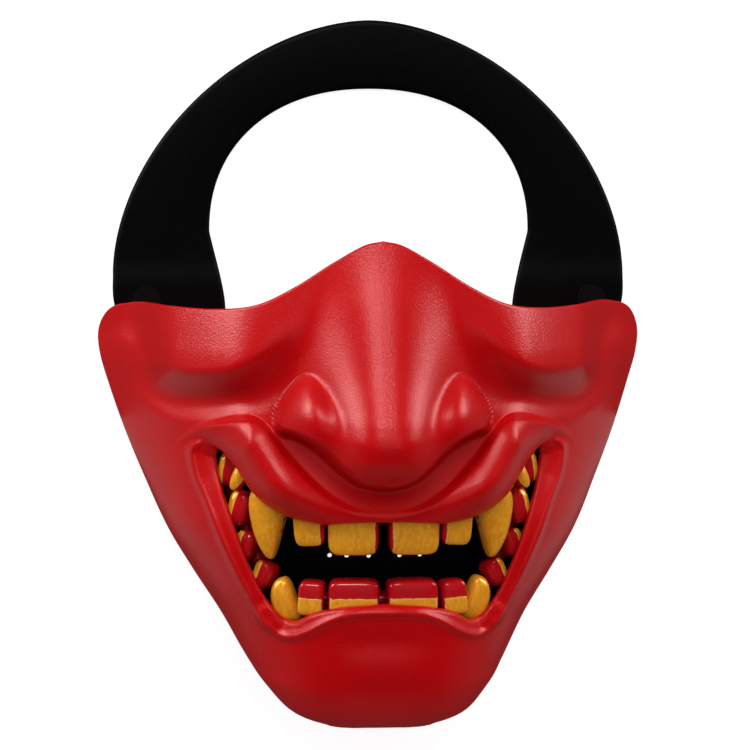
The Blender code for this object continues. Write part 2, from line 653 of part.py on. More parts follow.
def closed_grid(per_side, rings):
    """Outer surface of the whole mask: spokes all the way round, rings from the mouth to the rim."""
    right = surface_spokes(per_side, rings)
    left = right[1:-1][::-1] * np.array([-1.0, 1.0, 1.0])
    return np.concatenate([right, left])


def inner_grid(outer, inner_surface, picked):
    """Inner surface, one point for each picked ring of each spoke."""
    normal = outward_normals(smoothed(outer, NORMAL_EVENING))
    steps = np.linalg.norm(np.diff(outer, axis=1), axis=2)
    start = np.zeros((len(outer), 1))
    from_lip = np.concatenate([start, np.cumsum(steps, axis=1)], axis=1)
    to_rim = from_lip[:, -1:] - from_lip
    sideways = smooth(from_lip / (LIP_BAND * WALL))[..., None] * WALL * normal[..., :2]
    flat = outer[..., :2] - sideways
    found = np.minimum(inner_surface.height(flat[..., 0], flat[..., 1]), outer[..., 2] - LEAST_WALL * WALL)
    skirt = (np.abs(normal[..., 2]) < STEEP) & (to_rim < from_lip)
    share = np.where(skirt, 1.0, smooth(2 - 2 * to_rim / (RIM_BAND * WALL)))
    height = (outer[..., 2] - WALL * normal[..., 2]) * share + found * (1 - share)
    return np.dstack([flat, height])[:, picked]


def bulge(first, last, count, reach):
    """Round the edge between two border lines of points with count lines, reach deep."""
    lines = []
    for k in range(1, count + 1):
        angle = math.pi * k / (count + 1)
        lines.append(first * (1 + math.cos(angle)) / 2 + last * (1 - math.cos(angle)) / 2
                     + reach * math.sin(angle))
    return lines


def shell_lines(per_side, outer_rings, inner_rings, edge_lines, inner_surface):
    """Lines of points round the shell's wall: out over the face, round the rim, back inside, round the lips."""
    outer = closed_grid(per_side, outer_rings)
    picked = np.unique(np.linspace(0, outer_rings - 1, inner_rings).round().astype(int))
    inner = inner_grid(outer, inner_surface, picked)
    rim_out = outer[:, -1] - outer[:, -2]
    rim_out = rim_out / np.linalg.norm(rim_out, axis=1, keepdims=True) * EDGE_ROUND * WALL
    lip_out = outer[:, 0] - outer[:, 1]
    lip_out = lip_out / np.linalg.norm(lip_out, axis=1, keepdims=True) * EDGE_ROUND * WALL
    lines = [outer[:, k] for k in range(outer_rings)]
    lines += bulge(outer[:, -1], inner[:, -1], edge_lines, rim_out)
    lines += [inner[:, k] for k in range(len(picked) - 1, -1, -1)]
    lines += bulge(inner[:, 0], outer[:, 0], edge_lines, lip_out)
    return np.array(lines)


def fresh_object(name, bm, finish, collection):
    """Make one object of a bmesh, with its own material."""
    bmesh.ops.remove_doubles(bm, verts=bm.verts, dist=MERGE)
    bmesh.ops.recalc_face_normals(bm, faces=bm.faces)
    mesh = bpy.data.meshes.new(name)
    bm.to_mesh(mesh)
    bm.free()
    mesh.shade_smooth()
    mesh.set_sharp_from_angle(angle=SHARP_ANGLE)
    made = bpy.data.objects.new(name, mesh)
    collection.objects.link(made)
    material = bpy.data.materials.new(name)
    material.use_nodes = True
    shader = material.node_tree.nodes["Principled BSDF"]
    color, roughness, metallic = finish
    shader.inputs["Base Color"].default_value = (*color, 1.0)
    shader.inputs["Roughness"].default_value = roughness
    shader.inputs["Metallic"].default_value = metallic
    mesh.materials.append(material)
    return made


def ring_of_lines(lines, wrap_spokes):
    """Bend a flat grid over lines of points: lines run one way, the points of each the other way."""
    rows = len(lines)
    cols = len(lines[0])
    bm = bmesh.new()
    bmesh.ops.create_grid(bm, x_segments=cols if wrap_spokes else cols - 1, y_segments=rows, size=1.0)
    across = cols if wrap_spokes else cols - 1
    for vert in bm.verts:
        col = round((vert.co.x + 1) / 2 * across) % cols
        row = round((vert.co.y + 1) / 2 * rows) % rows
        vert.co = lines[row][col]
    bmesh.ops.remove_doubles(bm, verts=bm.verts, dist=MERGE)
    bmesh.ops.triangulate(bm, faces=bm.faces, quad_method="SHORT_EDGE")
    return bm


def rise_until(body, blockers):
    """Lift a body that stands below its neighbours until only GAP is left between them."""
    own = BVHTree.FromBMesh(body)
    up = Vector((0, 0, 1))
    trees = [BVHTree.FromBMesh(blocker) for blocker in blockers]
    free = FAR
    for blocker, tree in zip(blockers, trees):
        hits = [tree.ray_cast(vert.co, up)[3] for vert in body.verts]
        hits += [own.ray_cast(vert.co, -up)[3] for vert in blocker.verts]
        free = min([free] + [hit for hit in hits if hit is not None])
    bmesh.ops.translate(body, verts=body.verts, vec=up * (free - GAP))
    while any(BVHTree.FromBMesh(body).overlap(tree) for tree in trees):
        bmesh.ops.translate(body, verts=body.verts, vec=-up * GAP)


def tooth(out, up, half_wide, half_tall, half_thick, taper, bend, turn, yaw, squareness, points_up):
    """One tooth as a squared ball, narrower towards its tip, bent to the side and turned into the arch."""
    bm = bmesh.new()
    bmesh.ops.create_uvsphere(bm, u_segments=TOOTH_SIDES, v_segments=TOOTH_RINGS, radius=1.0,
                              matrix=Matrix.Rotation(math.pi / 2, 4, "X"))
    bmesh.ops.triangulate(bm, faces=bm.faces, quad_method="SHORT_EDGE")
    tip = 1.0 if points_up else -1.0
    late, follow = TOOTH_FORM
    for vert in bm.verts:
        across, along, deep = (math.copysign(abs(value) ** squareness, value) for value in vert.co)
        to_tip = (along * tip + 1) / 2
        width = half_wide * (1 - (1 - taper) * to_tip ** late)
        thickness = half_thick * (1 - follow * (1 - taper) * to_tip)
        aside = bend * (1 / 4 - 2 * (to_tip - 1 / 2) ** 2)
        vert.co = Vector((across * width + aside, along * half_tall, deep * thickness)) * HALF
    place = Matrix.Translation(Vector((out * HALF, CHIN_Y + up * FACE_LENGTH, -FACE_DEPTH)))
    spin = Matrix.Rotation(math.radians(-turn), 4, "Z") @ Matrix.Rotation(math.radians(yaw), 4, "Y")
    bmesh.ops.transform(bm, verts=bm.verts, matrix=place @ spin)
    return bm


def gum(diameter, stops, both_halves, side):
    """A gum as a bar along its stops, standing below everything until it is lifted."""
    line = metres(stops)
    if both_halves:
        line = np.vstack([line[:0:-1] * np.array([-1.0, 1.0]), line])
    path = curve_through(line, GUM_STATIONS * (len(line) - 1) + 1) * np.array([side, 1.0])
    form = head_form(path[:, 0], path[:, 1])
    turns = np.linspace(0, 2 * math.pi, GUM_SIDES, endpoint=False)
    run = np.gradient(np.column_stack([path, form]), axis=0)
    run /= np.linalg.norm(run, axis=1, keepdims=True)
    over = np.cross(run, (0, 0, 1.0))
    over /= np.linalg.norm(over, axis=1, keepdims=True)
    upward = np.cross(over, run)
    middle = np.column_stack([path, form - 2 * FACE_DEPTH])
    lines = [middle + diameter / 2 * (math.cos(a) * over + math.sin(a) * upward) for a in turns]
    bm = ring_of_lines(lines, False)
    close_ends(bm)
    return bm


def close_ends(bm):
    """Close the two open ends of a tube."""
    bmesh.ops.holes_fill(bm, edges=[edge for edge in bm.edges if edge.is_boundary], sides=0)
    bmesh.ops.recalc_face_normals(bm, faces=bm.faces)


def strap_edges(count):
    """Outer and inner edge of the strap's right half, from its hidden end to the top of the arch."""
    wing = CHIN_Y + WING_TOP * FACE_LENGTH
    top = BRIDGE_Y + STRAP_REACH
    turn = np.linspace(0, math.pi / 2, SAMPLES)
    edges = []
    for half, (level, power), top_y, end_out, wing_out in (
            (STRAP_HALF, STRAP_OUTER, top, TAB_OUT, WING_OUT),
            (STRAP_HALF - STRAP_SIDE, STRAP_INNER, top - STRAP_BAND, TAB_IN, WING_IN)):
        widest = wing + level * (top - wing)
        arc = np.column_stack([half * np.cos(turn) ** (2 / power),
                               widest + (top_y - widest) * np.sin(turn) ** (2 / power)])
        leg = np.array([[end_out * STRAP_HALF, wing - TAB_LENGTH],
                        [(end_out + wing_out) / 2 * STRAP_HALF, wing - TAB_LENGTH / 2],
                        [wing_out * STRAP_HALF, wing]])
        line = np.vstack([curve_through(np.vstack([leg, arc[:1]]), SAMPLES)[:-1], arc])
        length = np.concatenate([[0.0], np.cumsum(np.linalg.norm(np.diff(line, axis=0), axis=1))])
        at = np.linspace(0, length[-1], count)
        edges.append(np.column_stack([np.interp(at, length, line[:, k]) for k in range(2)]))
    return edges


def strap_height(y):
    """Height of the middle of the strap's thickness: flat on the ground, its ends a little raised."""
    wing = CHIN_Y + WING_TOP * FACE_LENGTH
    return STRAP_THICK / 2 + (CAP_THICK + GAP) * smooth((wing + 1.5 * STUD_DIAMETER - y) / STUD_DIAMETER)


def strap(count):
    """The foam strap: a flat arch with rounded edges, one closed body."""
    outer, inner = strap_edges(count)
    mirror = np.array([-1.0, 1.0])
    outer = np.vstack([outer, outer[-2::-1] * mirror])
    inner = np.vstack([inner, inner[-2::-1] * mirror])
    width = np.linalg.norm(outer - inner, axis=1)
    lines = []
    for edge, inset, height in STRAP_SECTION:
        share = edge + (1 - 2 * edge) * inset * STRAP_THICK / 2 / width
        flat = outer + (inner - outer) * share[:, None]
        lines.append(np.column_stack([flat, strap_height(flat[:, 1]) + height * STRAP_THICK / 2]))
    bm = ring_of_lines(lines, False)
    close_ends(bm)
    return bm


def cylinder(diameter, x, y, low, high, sides=ROUND_SIDES):
    """An upright round piece between two heights."""
    bm = bmesh.new()
    bmesh.ops.create_cone(bm, cap_ends=True, segments=sides, radius1=diameter / 2, radius2=diameter / 2,
                          depth=high - low, matrix=Matrix.Translation((x, y, (low + high) / 2)))
    return bm


def united(name, first, others, operation, cutters):
    """Add to an object, or cut from it, each of the other bodies with an exact Boolean."""
    for number, body in enumerate(others):
        mesh = bpy.data.meshes.new(f"{name}_tool_{number}")
        body.to_mesh(mesh)
        body.free()
        tool = bpy.data.objects.new(f"{name}_tool_{number}", mesh)
        tool.hide_render = True
        tool.display_type = "WIRE"
        cutters.objects.link(tool)
        modifier = first.modifiers.new(f"{operation.lower()}_{number}", "BOOLEAN")
        modifier.operation = operation
        modifier.object = tool


def mouth_screen(inner_surface):
    """Thin black panel behind the mouth, sunk towards its middle and seated on the shell all round."""
    guide = curve_through([row[:4] for row in SPOKES], SCREEN_STATIONS)
    edge = metres(guide[:, 0:2] + (guide[:, 2:4] - guide[:, 0:2]) * SCREEN_SPREAD)
    edge[[0, -1], 0] = 0.0
    edge = np.vstack([edge, edge[-2:0:-1] * np.array([-1.0, 1.0])])
    middle = np.array([0.0, CHIN_Y + SCREEN_UP * FACE_LENGTH])
    lines = []
    for share, low in [(r, 0.0) for r in SCREEN_REACH] + [(r, 1.0) for r in SCREEN_REACH[::-1]]:
        x, y = (middle + (edge - middle) * share).T
        met = np.minimum(inner_surface.height(x, y), head_form(x, y) - WALL)
        sunk = SCREEN_SINK * smooth((1 - share) / SCREEN_RIM)
        lines.append(np.column_stack([x, y, met - 2 * WALL - sunk - low * SCREEN_WALL]))
    return ring_of_lines(lines, True)


def room_above(blocker, x, y, diameter, low):
    """Free height over a round spot before it meets a body."""
    tree = BVHTree.FromBMesh(blocker)
    turns = np.linspace(0, 2 * math.pi, ROUND_SIDES, endpoint=False)
    spots = [(x, y)] + [(x + diameter / 2 * math.cos(a), y + diameter / 2 * math.sin(a)) for a in turns]
    hits = [tree.ray_cast(Vector((px, py, low)), Vector((0, 0, 1)))[3] for px, py in spots]
    return min(hit for hit in hits if hit is not None)


def build_teeth(shell, parts):
    """All teeth, each seated under the shell; returns copies of their bodies."""
    bodies = []
    for row in TEETH:
        name = row[0]
        body = tooth(*row[1:], points_up=name.startswith("lower"))
        rise_until(body, [shell])
        twin = body.copy()
        bmesh.ops.scale(twin, verts=twin.verts, vec=(-1, 1, 1))
        bmesh.ops.reverse_faces(twin, faces=twin.faces)
        for side, made in (("right", body), ("left", twin)):
            bodies.append(made.copy())
            fresh_object(f"{name}_{side}", made, GOLD, parts)
    return bodies


def build_gums(blockers, parts):
    """Gum bars behind the teeth, lifted until they meet them; returns copies of their bodies."""
    bodies = []
    for name, both_halves, share, stops in GUMS:
        for side in ((1,) if both_halves else (1, -1)):
            body = gum(share * GUM_DIAMETER, stops, both_halves, side)
            rise_until(body, blockers + bodies)
            bodies.append(body.copy())
            label = name if both_halves else f"{name}_{'right' if side > 0 else 'left'}"
            fresh_object(label, body, DEEP_RED, parts)
    return bodies


def build_strap(shell, parts, cutters):
    """The strap with the press studs that hold it inside the wings."""
    band = fresh_object("head_strap", strap(STRAP_STATIONS), BLACK_FOAM, parts)
    y = CHIN_Y + WING_TOP * FACE_LENGTH
    band_low = CAP_THICK + GAP
    band_high = band_low + STRAP_THICK
    holes = []
    for side, label in ((1, "right"), (-1, "left")):
        x = side * STUD_OUT * STRAP_HALF
        disc_low = band_high + GAP
        post_y = y - POST_DROP * STUD_DIAMETER
        room = room_above(shell, x, post_y, STEM_DIAMETER, disc_low) - 2 * GAP
        disc = cylinder(STUD_DIAMETER, x, y, disc_low, disc_low + STUD_THICK)
        stud = fresh_object(f"strap_stud_{label}", disc, BLACK_PLASTIC, parts)
        stem = cylinder(STEM_DIAMETER, x, y, band_low, disc_low + STUD_THICK / 2)
        post = cylinder(STEM_DIAMETER, x, post_y, disc_low + STUD_THICK / 2, disc_low + room)
        united(stud.name, stud, [stem, post], "UNION", cutters)
        cap = cylinder(STUD_DIAMETER, x, y, 0.0, CAP_THICK)
        fresh_object(f"strap_cap_{label}", cap, BLACK_PLASTIC, parts)
        holes.append(cylinder(STEM_DIAMETER + 2 * GAP, x, y, -band_high, 2 * band_high))
    united(band.name, band, holes, "DIFFERENCE", cutters)


def build_screen(inner_surface, blockers, parts, cutters):
    """The black panel behind the mouth, with its small vent holes."""
    body = mouth_screen(inner_surface)
    rise_until(body, blockers)
    panel = fresh_object("mouth_screen", body, BLACK_PLASTIC, parts)
    y = CHIN_Y + VENT_UP * FACE_LENGTH
    holes = [cylinder(VENT_DIAMETER, out * HALF, y, 0.0, FACE_DEPTH, VENT_SIDES) for out in VENTS]
    united(panel.name, panel, holes, "DIFFERENCE", cutters)


def main():
    for old in list(bpy.data.objects):
        bpy.data.objects.remove(old)
    parts = bpy.data.collections.new("demon_half_mask")
    cutters = bpy.data.collections.new("cutters")
    bpy.context.scene.collection.children.link(parts)
    bpy.context.scene.collection.children.link(cutters)
    inner_surface = InnerSurface()
    lines = shell_lines(SPOKES_PER_SIDE, OUTER_RINGS, INNER_RINGS, 1, inner_surface)
    shell = ring_of_lines(lines, True)
    body = shell.copy()
    fresh_object("mask_shell", shell, RED, parts)
    mouth = [body] + build_teeth(body, parts)
    mouth += build_gums(mouth, parts)
    build_screen(inner_surface, mouth, parts, cutters)
    build_strap(body, parts, cutters)


main()
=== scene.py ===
"""Demon half mask lying on its back: its dressed pieces, the studio and the camera."""
import math

import bmesh
import bpy
import numpy as np
from mathutils import Matrix, Vector


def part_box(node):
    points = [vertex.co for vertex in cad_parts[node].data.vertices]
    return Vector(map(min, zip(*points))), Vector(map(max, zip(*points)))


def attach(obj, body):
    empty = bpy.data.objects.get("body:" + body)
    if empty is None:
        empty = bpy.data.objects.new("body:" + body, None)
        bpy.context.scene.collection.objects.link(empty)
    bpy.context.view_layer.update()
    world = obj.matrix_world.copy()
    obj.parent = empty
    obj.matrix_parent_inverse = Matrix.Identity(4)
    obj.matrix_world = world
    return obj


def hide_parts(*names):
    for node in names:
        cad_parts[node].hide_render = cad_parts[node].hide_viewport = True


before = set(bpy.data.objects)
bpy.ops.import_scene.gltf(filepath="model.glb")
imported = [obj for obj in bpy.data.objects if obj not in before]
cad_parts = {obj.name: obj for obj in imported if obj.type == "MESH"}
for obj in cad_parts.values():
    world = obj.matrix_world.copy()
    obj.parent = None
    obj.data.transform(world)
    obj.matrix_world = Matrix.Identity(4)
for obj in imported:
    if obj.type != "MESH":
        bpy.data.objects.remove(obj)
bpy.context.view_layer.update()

# Sizes of the mask, in metres.
FACE_WIDTH = 0.187           # across the tips of the wings
FACE_LENGTH = 0.1616         # from the chin to the nose bridge
FACE_DEPTH = 0.104           # heights of the face are shares of it
WALL = 0.0035
STRAP_REACH = 0.0738         # strap's top above the nose bridge
STRAP_INSET = 0.005          # strap's outer edge inside the tips of the wings
STRAP_BAND = 0.0236          # width of the band at its top
STRAP_THICK = 0.0036
STRAP_SIDE = 0.0333          # width of the band at its sides
TAB_LENGTH = 0.030           # strap's end hidden behind a wing
STUD_DIAMETER = 0.0100
CAP_THICK = 0.0009           # cap of a stud under the strap
GAP = 0.0003                 # clearance between neighbouring pieces
GUM_DIAMETER = 0.0070
MM = 1000                    # millimetres in a metre

# Fineness of the dressed pieces.
SPOKES_PER_SIDE = 190
OUTER_RINGS = 190
INNER_RINGS = 40
EDGE_LINES = 5
STRAP_STATIONS = 150
STRAP_TURNS = 9
GUM_STATIONS = 16
GUM_SIDES = 24
TOOTH_SIDES = 56
TOOTH_RINGS = 40
LINE_POINTS = 120            # points of a feature's line
OUTLINE_POINTS = 400         # points of half the outline
SAMPLES = 400                # points of a line before it is spaced evenly
MERGE = 1e-6                 # points closer together than this are one
TINY = 1e-12                 # keeps a division away from zero
FAR = 1.0                    # further than any place on the mask
FIELD_STEP = 0.0007          # cell of the inner surface's height field
FIELD_MARGIN = 0.15          # how far it runs on past the face, as a share of HALF
CELL_SLACK = 0.001           # keeps the last places inside the field's last cell

HALF = FACE_WIDTH / 2
STRAP_HALF = HALF - STRAP_INSET
FULL_LENGTH = FACE_LENGTH + STRAP_REACH
CHIN_Y = -FULL_LENGTH / 2
BRIDGE_Y = CHIN_Y + FACE_LENGTH

# Face spokes from the middle of the nose bridge round the wing to the chin. Each row runs from the
# mouth's edge to the outline seen from the front. out is a share of HALF, up of FACE_LENGTH above the
# chin and rim_deep, the height of the shell's back edge, of FACE_DEPTH (None: the outline is the edge).
SPOKES = (
    # lip_out, lip_up, edge_out, edge_up, rim_deep
    (0.000, 0.447, 0.000, 1.002, None),
    (0.062, 0.447, 0.070, 0.993, None),
    (0.139, 0.444, 0.175, 0.959, None),
    (0.215, 0.440, 0.309, 0.909, None),
    (0.300, 0.447, 0.442, 0.873, None),
    (0.378, 0.462, 0.590, 0.862, None),
    (0.443, 0.489, 0.744, 0.863, None),
    (0.487, 0.522, 0.877, 0.862, None),
    (0.521, 0.551, 0.956, 0.848, 0.078),
    (0.563, 0.576, 0.999, 0.806, 0.024),
    (0.582, 0.576, 0.997, 0.752, 0.016),
    (0.587, 0.547, 0.960, 0.677, 0.016),
    (0.569, 0.495, 0.902, 0.583, 0.030),
    (0.537, 0.435, 0.830, 0.484, 0.050),
    (0.496, 0.368, 0.750, 0.384, 0.062),
    (0.453, 0.309, 0.657, 0.295, 0.066),
    (0.405, 0.260, 0.561, 0.211, 0.060),
    (0.353, 0.230, 0.477, 0.130, 0.045),
    (0.303, 0.226, 0.406, 0.077, 0.026),
    (0.246, 0.246, 0.316, 0.029, 0.016),
    (0.140, 0.263, 0.179, 0.002, 0.016),
    (0.000, 0.270, 0.000, 0.001, 0.016),
)

# Plain head form: height of the face on the mid-plane and at its outline, level by level.
SECTIONS = (
    # up, middle_deep, side_deep, fullness
    (1.000, 0.690, 0.045, 1.15),
    (0.860, 0.735, 0.045, 1.15),
    (0.790, 0.745, 0.030, 1.10),
    (0.720, 0.750, 0.030, 1.02),
    (0.660, 0.755, 0.045, 0.95),
    (0.580, 0.760, 0.080, 0.85),
    (0.480, 0.775, 0.120, 0.72),
    (0.420, 0.780, 0.145, 0.64),
    (0.360, 0.775, 0.160, 0.60),
    (0.300, 0.775, 0.172, 0.60),
    (0.240, 0.773, 0.190, 0.60),
    (0.190, 0.770, 0.215, 0.58),
    (0.150, 0.766, 0.250, 0.56),
    (0.120, 0.760, 0.300, 0.55),
    (0.090, 0.748, 0.380, 0.55),
    (0.055, 0.722, 0.440, 0.55),
    (0.026, 0.680, 0.500, 0.55),
    (0.000, 0.590, 0.540, 0.60),
)
SIDE_POWER = 2.2             # how square the head form is across
LEAST_HALF = 0.2             # least half width that it is fitted into, as a share of HALF

# Nose above the head form: half width and height of its ridge, level by level.
NOSE = (
    # up, half_out, rise_deep, ridge_out
    (1.010, 0.120, 0.000, 0.020),
    (0.930, 0.210, 0.026, 0.022),
    (0.860, 0.260, 0.062, 0.026),
    (0.800, 0.285, 0.098, 0.032),
    (0.740, 0.295, 0.140, 0.040),
    (0.680, 0.290, 0.190, 0.048),
    (0.640, 0.285, 0.222, 0.054),
    (0.610, 0.280, 0.235, 0.058),
    (0.580, 0.275, 0.225, 0.062),
    (0.550, 0.270, 0.190, 0.062),
    (0.515, 0.270, 0.120, 0.062),
    (0.480, 0.270, 0.060, 0.062),
)
NOSE_EDGE = (                # crisp lower edge of the nose, from the middle to the nostril wing
    # out, up
    (0.000, 0.514),
    (0.086, 0.524),
    (0.156, 0.553),
    (0.208, 0.581),
    (0.260, 0.604),
    (0.313, 0.617),
    (0.366, 0.627),
    (0.392, 0.663),
)
LIP_EDGE = (                 # upper edge of the moustache-shaped upper lip, from the corner to the middle
    # out, up
    (0.720, 0.560),
    (0.707, 0.584),
    (0.677, 0.604),
    (0.640, 0.620),
    (0.569, 0.635),
    (0.500, 0.645),
    (0.452, 0.645),
    (0.412, 0.631),
    (0.378, 0.606),
    (0.345, 0.580),
    (0.296, 0.548),
    (0.226, 0.509),
    (0.139, 0.475),
    (0.070, 0.462),
    (-0.070, 0.462),
)
RIDGE = (                    # thin raised line round the lower lip, from the corner to the middle
    # out, up
    (0.640, 0.592),
    (0.667, 0.571),
    (0.653, 0.515),
    (0.624, 0.478),
    (0.561, 0.385),
    (0.496, 0.304),
    (0.466, 0.273),
    (0.439, 0.241),
    (0.399, 0.213),
    (0.352, 0.199),
    (0.309, 0.203),
    (0.263, 0.216),
    (0.200, 0.238),
    (0.133, 0.253),
    (0.070, 0.258),
    (-0.070, 0.258),
)
LIP_UNDERSIDE = (            # lower edge of the upper lip at the corner, before it meets the mouth's edge
    # out, up
    (0.720, 0.560),
    (0.690, 0.582),
    (0.640, 0.594),
    (0.600, 0.591),
    (0.563, 0.577),
)
CHEEK_EDGE = (               # foot of the cheek's pillow, from the temple round to the nose
    # out, up
    (0.854, 0.870),
    (0.851, 0.828),
    (0.844, 0.775),
    (0.834, 0.724),
    (0.798, 0.690),
    (0.722, 0.674),
    (0.618, 0.674),
    (0.514, 0.684),
    (0.438, 0.702),
    (0.380, 0.726),
    (0.311, 0.758),
    (0.237, 0.786),
    (0.172, 0.818),
)
FOLD = (                     # thin roll outside the cheek's trough, from the temple to the nostril wing
    # out, up
    (0.902, 0.830),
    (0.888, 0.774),
    (0.870, 0.713),
    (0.838, 0.672),
    (0.788, 0.647),
    (0.714, 0.633),
    (0.621, 0.637),
    (0.518, 0.648),
    (0.425, 0.646),
)

# Round swellings: centre, half sizes as shares of HALF, and height as a share of FACE_DEPTH.
LIP_CORNER = (0.402, 0.236, 0.060, 0.014)         # corner of the lower lip: out, up, half_size, rise_deep
WING_BALL = (0.262, 0.650, 0.118, 0.156, 0.135)   # nostril wing: out, up, half_out, half_up, rise_deep
WING_BALL_FORM = (0.60, 1.50, 0.36)    # steepness of its outer and inner side, narrowing to its top

# Heights of the face's features as shares of FACE_DEPTH, and their widths as shares of HALF.
SWELL_EDGE = 0.60            # share of the lip corner's radius over which it rises
NOSE_FLANK = (2.00, 1.70)    # powers that shape the nose's flanks
NOSE_STEP = 0.026            # hollow just below the nose
NOSE_HOLLOW = 0.12
NOSE_HOLLOW_END = 0.12       # width over which it fades at the nostril wings
NOSE_CUT_WIDTH = 0.050
CHEEK_RISE = 0.095
CHEEK_CLIMB = 0.125          # width from the pillow's foot to its crest
CHEEK_CREST = 0.730          # level of its crest
CHEEK_FALL = 0.95            # how fast it falls again towards the eyes
CHEEK_FADE = (0.19, 0.34)    # where it starts beside the nose, and the width over which it grows
TROUGH_SINK = 0.020
TROUGH_AWAY = 0.030
TROUGH_WIDTH = 0.050
LIP_STEP = 0.040
LIP_STEP_WIDTH = 0.026
LIP_END = 0.20               # share of the lip's step that is left at its two ends
LIP_FADE = (0.20, 0.45)      # share of its length over which it fades, at the corner and at the middle
LIP_ROLL = 0.42              # bulge of the upper lip for its width
LIP_ROLL_SIDES = (0.120, 0.120)   # widths over which it rises, from its upper and from its lower edge
LIP_CUT_WIDTH = 0.020
RIDGE_RISE = 0.014
RIDGE_WIDTH = 0.014
LIP_SINK = 0.095             # slope from the ridge down to the mouth's edge
LIP_SINK_WIDTH = 0.16
LIP_SINK_END = 0.25          # share of it that is left under the teeth
SIDE_SHARE = (0.62, 0.92)    # part of the ridge's length over which it fades to that share
GROOVE_SINK = 0.008          # groove under the lower lip
GROOVE_AWAY = 0.11
GROOVE_WIDTH = 0.055
GROOVE_SHARE = (0.70, 0.85)  # part of the ridge's length over which the groove starts
FOLD_RISE = 0.018
FOLD_WIDTH = 0.040
FOLD_END = (0.15, 0.12)

# Form of the shell's wall.
EDGE_ROUND = 0.30            # bulge of the shell's edges, in walls
SKIRT_TUCK = 0.10            # how far the skirt leans inward for its height
SPOKE_BOW = 0.30             # how far a spoke runs square to the mouth's edge before it bends
SPOKE_EVENING = 3            # rounds of evening out between neighbouring spokes
NORMAL_EVENING = 6           # rounds of evening out of the face before its normals are taken
LIP_BAND = 6.0               # width of the band inside the lips where the wall is measured upright, in walls
RIM_BAND = 3.3               # width of the band along the rim where the wall is measured square, in walls
LEAST_WALL = 0.8             # upright thickness that is always left, in walls
STEEP = 0.45                 # upright part of a normal below which the skirt counts as steep

# Teeth on the right side; each has a twin on the left. Places are shares of HALF and FACE_LENGTH, sizes
# are shares of HALF. taper is the tip's width for the root's, bend the curve to the side, turn and yaw the
# turns in degrees in the mask's front view and about its upright line.
TEETH = (
    # name, out, up, half_wide, half_tall, half_thick, taper, bend, turn, yaw, squareness
    ("upper_incisor", 0.105, 0.428, 0.091, 0.100, 0.042, 0.97, 0.00, 0.0, 4.0, 0.36),
    ("upper_lateral", 0.2575, 0.436, 0.057, 0.084, 0.036, 0.94, 0.00, 3.0, 10.0, 0.42),
    ("upper_fang", 0.391, 0.436, 0.086, 0.142, 0.074, 0.30, 0.03, -2.0, 20.0, 0.75),
    ("upper_premolar", 0.486, 0.530, 0.032, 0.075, 0.034, 0.70, 0.00, -30.0, 40.0, 0.80),
    ("lower_incisor", 0.101, 0.282, 0.091, 0.062, 0.064, 0.98, 0.00, 0.0, 4.0, 0.36),
    ("lower_lateral", 0.247, 0.278, 0.048, 0.062, 0.056, 0.96, 0.00, -4.0, 10.0, 0.40),
    ("lower_fang", 0.333, 0.266, 0.052, 0.084, 0.052, 0.76, 0.03, 18.0, 16.0, 0.70),
    ("side_tooth_1", 0.524, 0.530, 0.044, 0.064, 0.050, 0.85, 0.00, -10.0, 30.0, 0.65),
    ("side_tooth_2", 0.492, 0.452, 0.044, 0.064, 0.050, 0.85, 0.00, -16.0, 30.0, 0.65),
    ("side_tooth_3", 0.470, 0.376, 0.042, 0.052, 0.050, 0.85, 0.00, -18.0, 30.0, 0.65),
    ("side_tooth_4", 0.408, 0.316, 0.040, 0.052, 0.050, 0.85, 0.00, -22.0, 30.0, 0.65),
)
TOOTH_FORM = (1.3, 0.4)      # how late a tooth narrows, and how much its thickness follows its width

# Gums: bars behind the teeth, each along the stops of its middle line on the right half.
GUMS = (
    # name, both_halves, share of GUM_DIAMETER, stops as (out, up)
    ("upper_gum", True, 1.00, ((0.000, 0.455), (0.200, 0.455), (0.300, 0.462), (0.370, 0.480))),
    ("lower_gum", True, 1.00, ((0.000, 0.262), (0.200, 0.258), (0.290, 0.246), (0.340, 0.240))),
    ("side_gum", False, 0.80, ((0.410, 0.310), (0.460, 0.385), (0.500, 0.455), (0.530, 0.530))),
)

# Strap: place of its widest points, as shares of the arch's height above the wings, and its edges' form.
WING_TOP = 0.862             # level of the wings' top edge, as a share of FACE_LENGTH
STRAP_OUTER = (0.100, 1.80)  # level of the widest point, squareness
STRAP_INNER = (0.245, 2.20)
TAB_OUT = 0.90               # the hidden end's outer edge, as a share of the strap's half width
TAB_IN = 0.56                # the hidden end's inner edge
WING_OUT = 0.998             # the outer edge at the wings' top edge
WING_IN = 0.565              # the inner edge there
LIFT_START = 1.5             # where the ends start to rise, in stud diameters above the wings' top edge


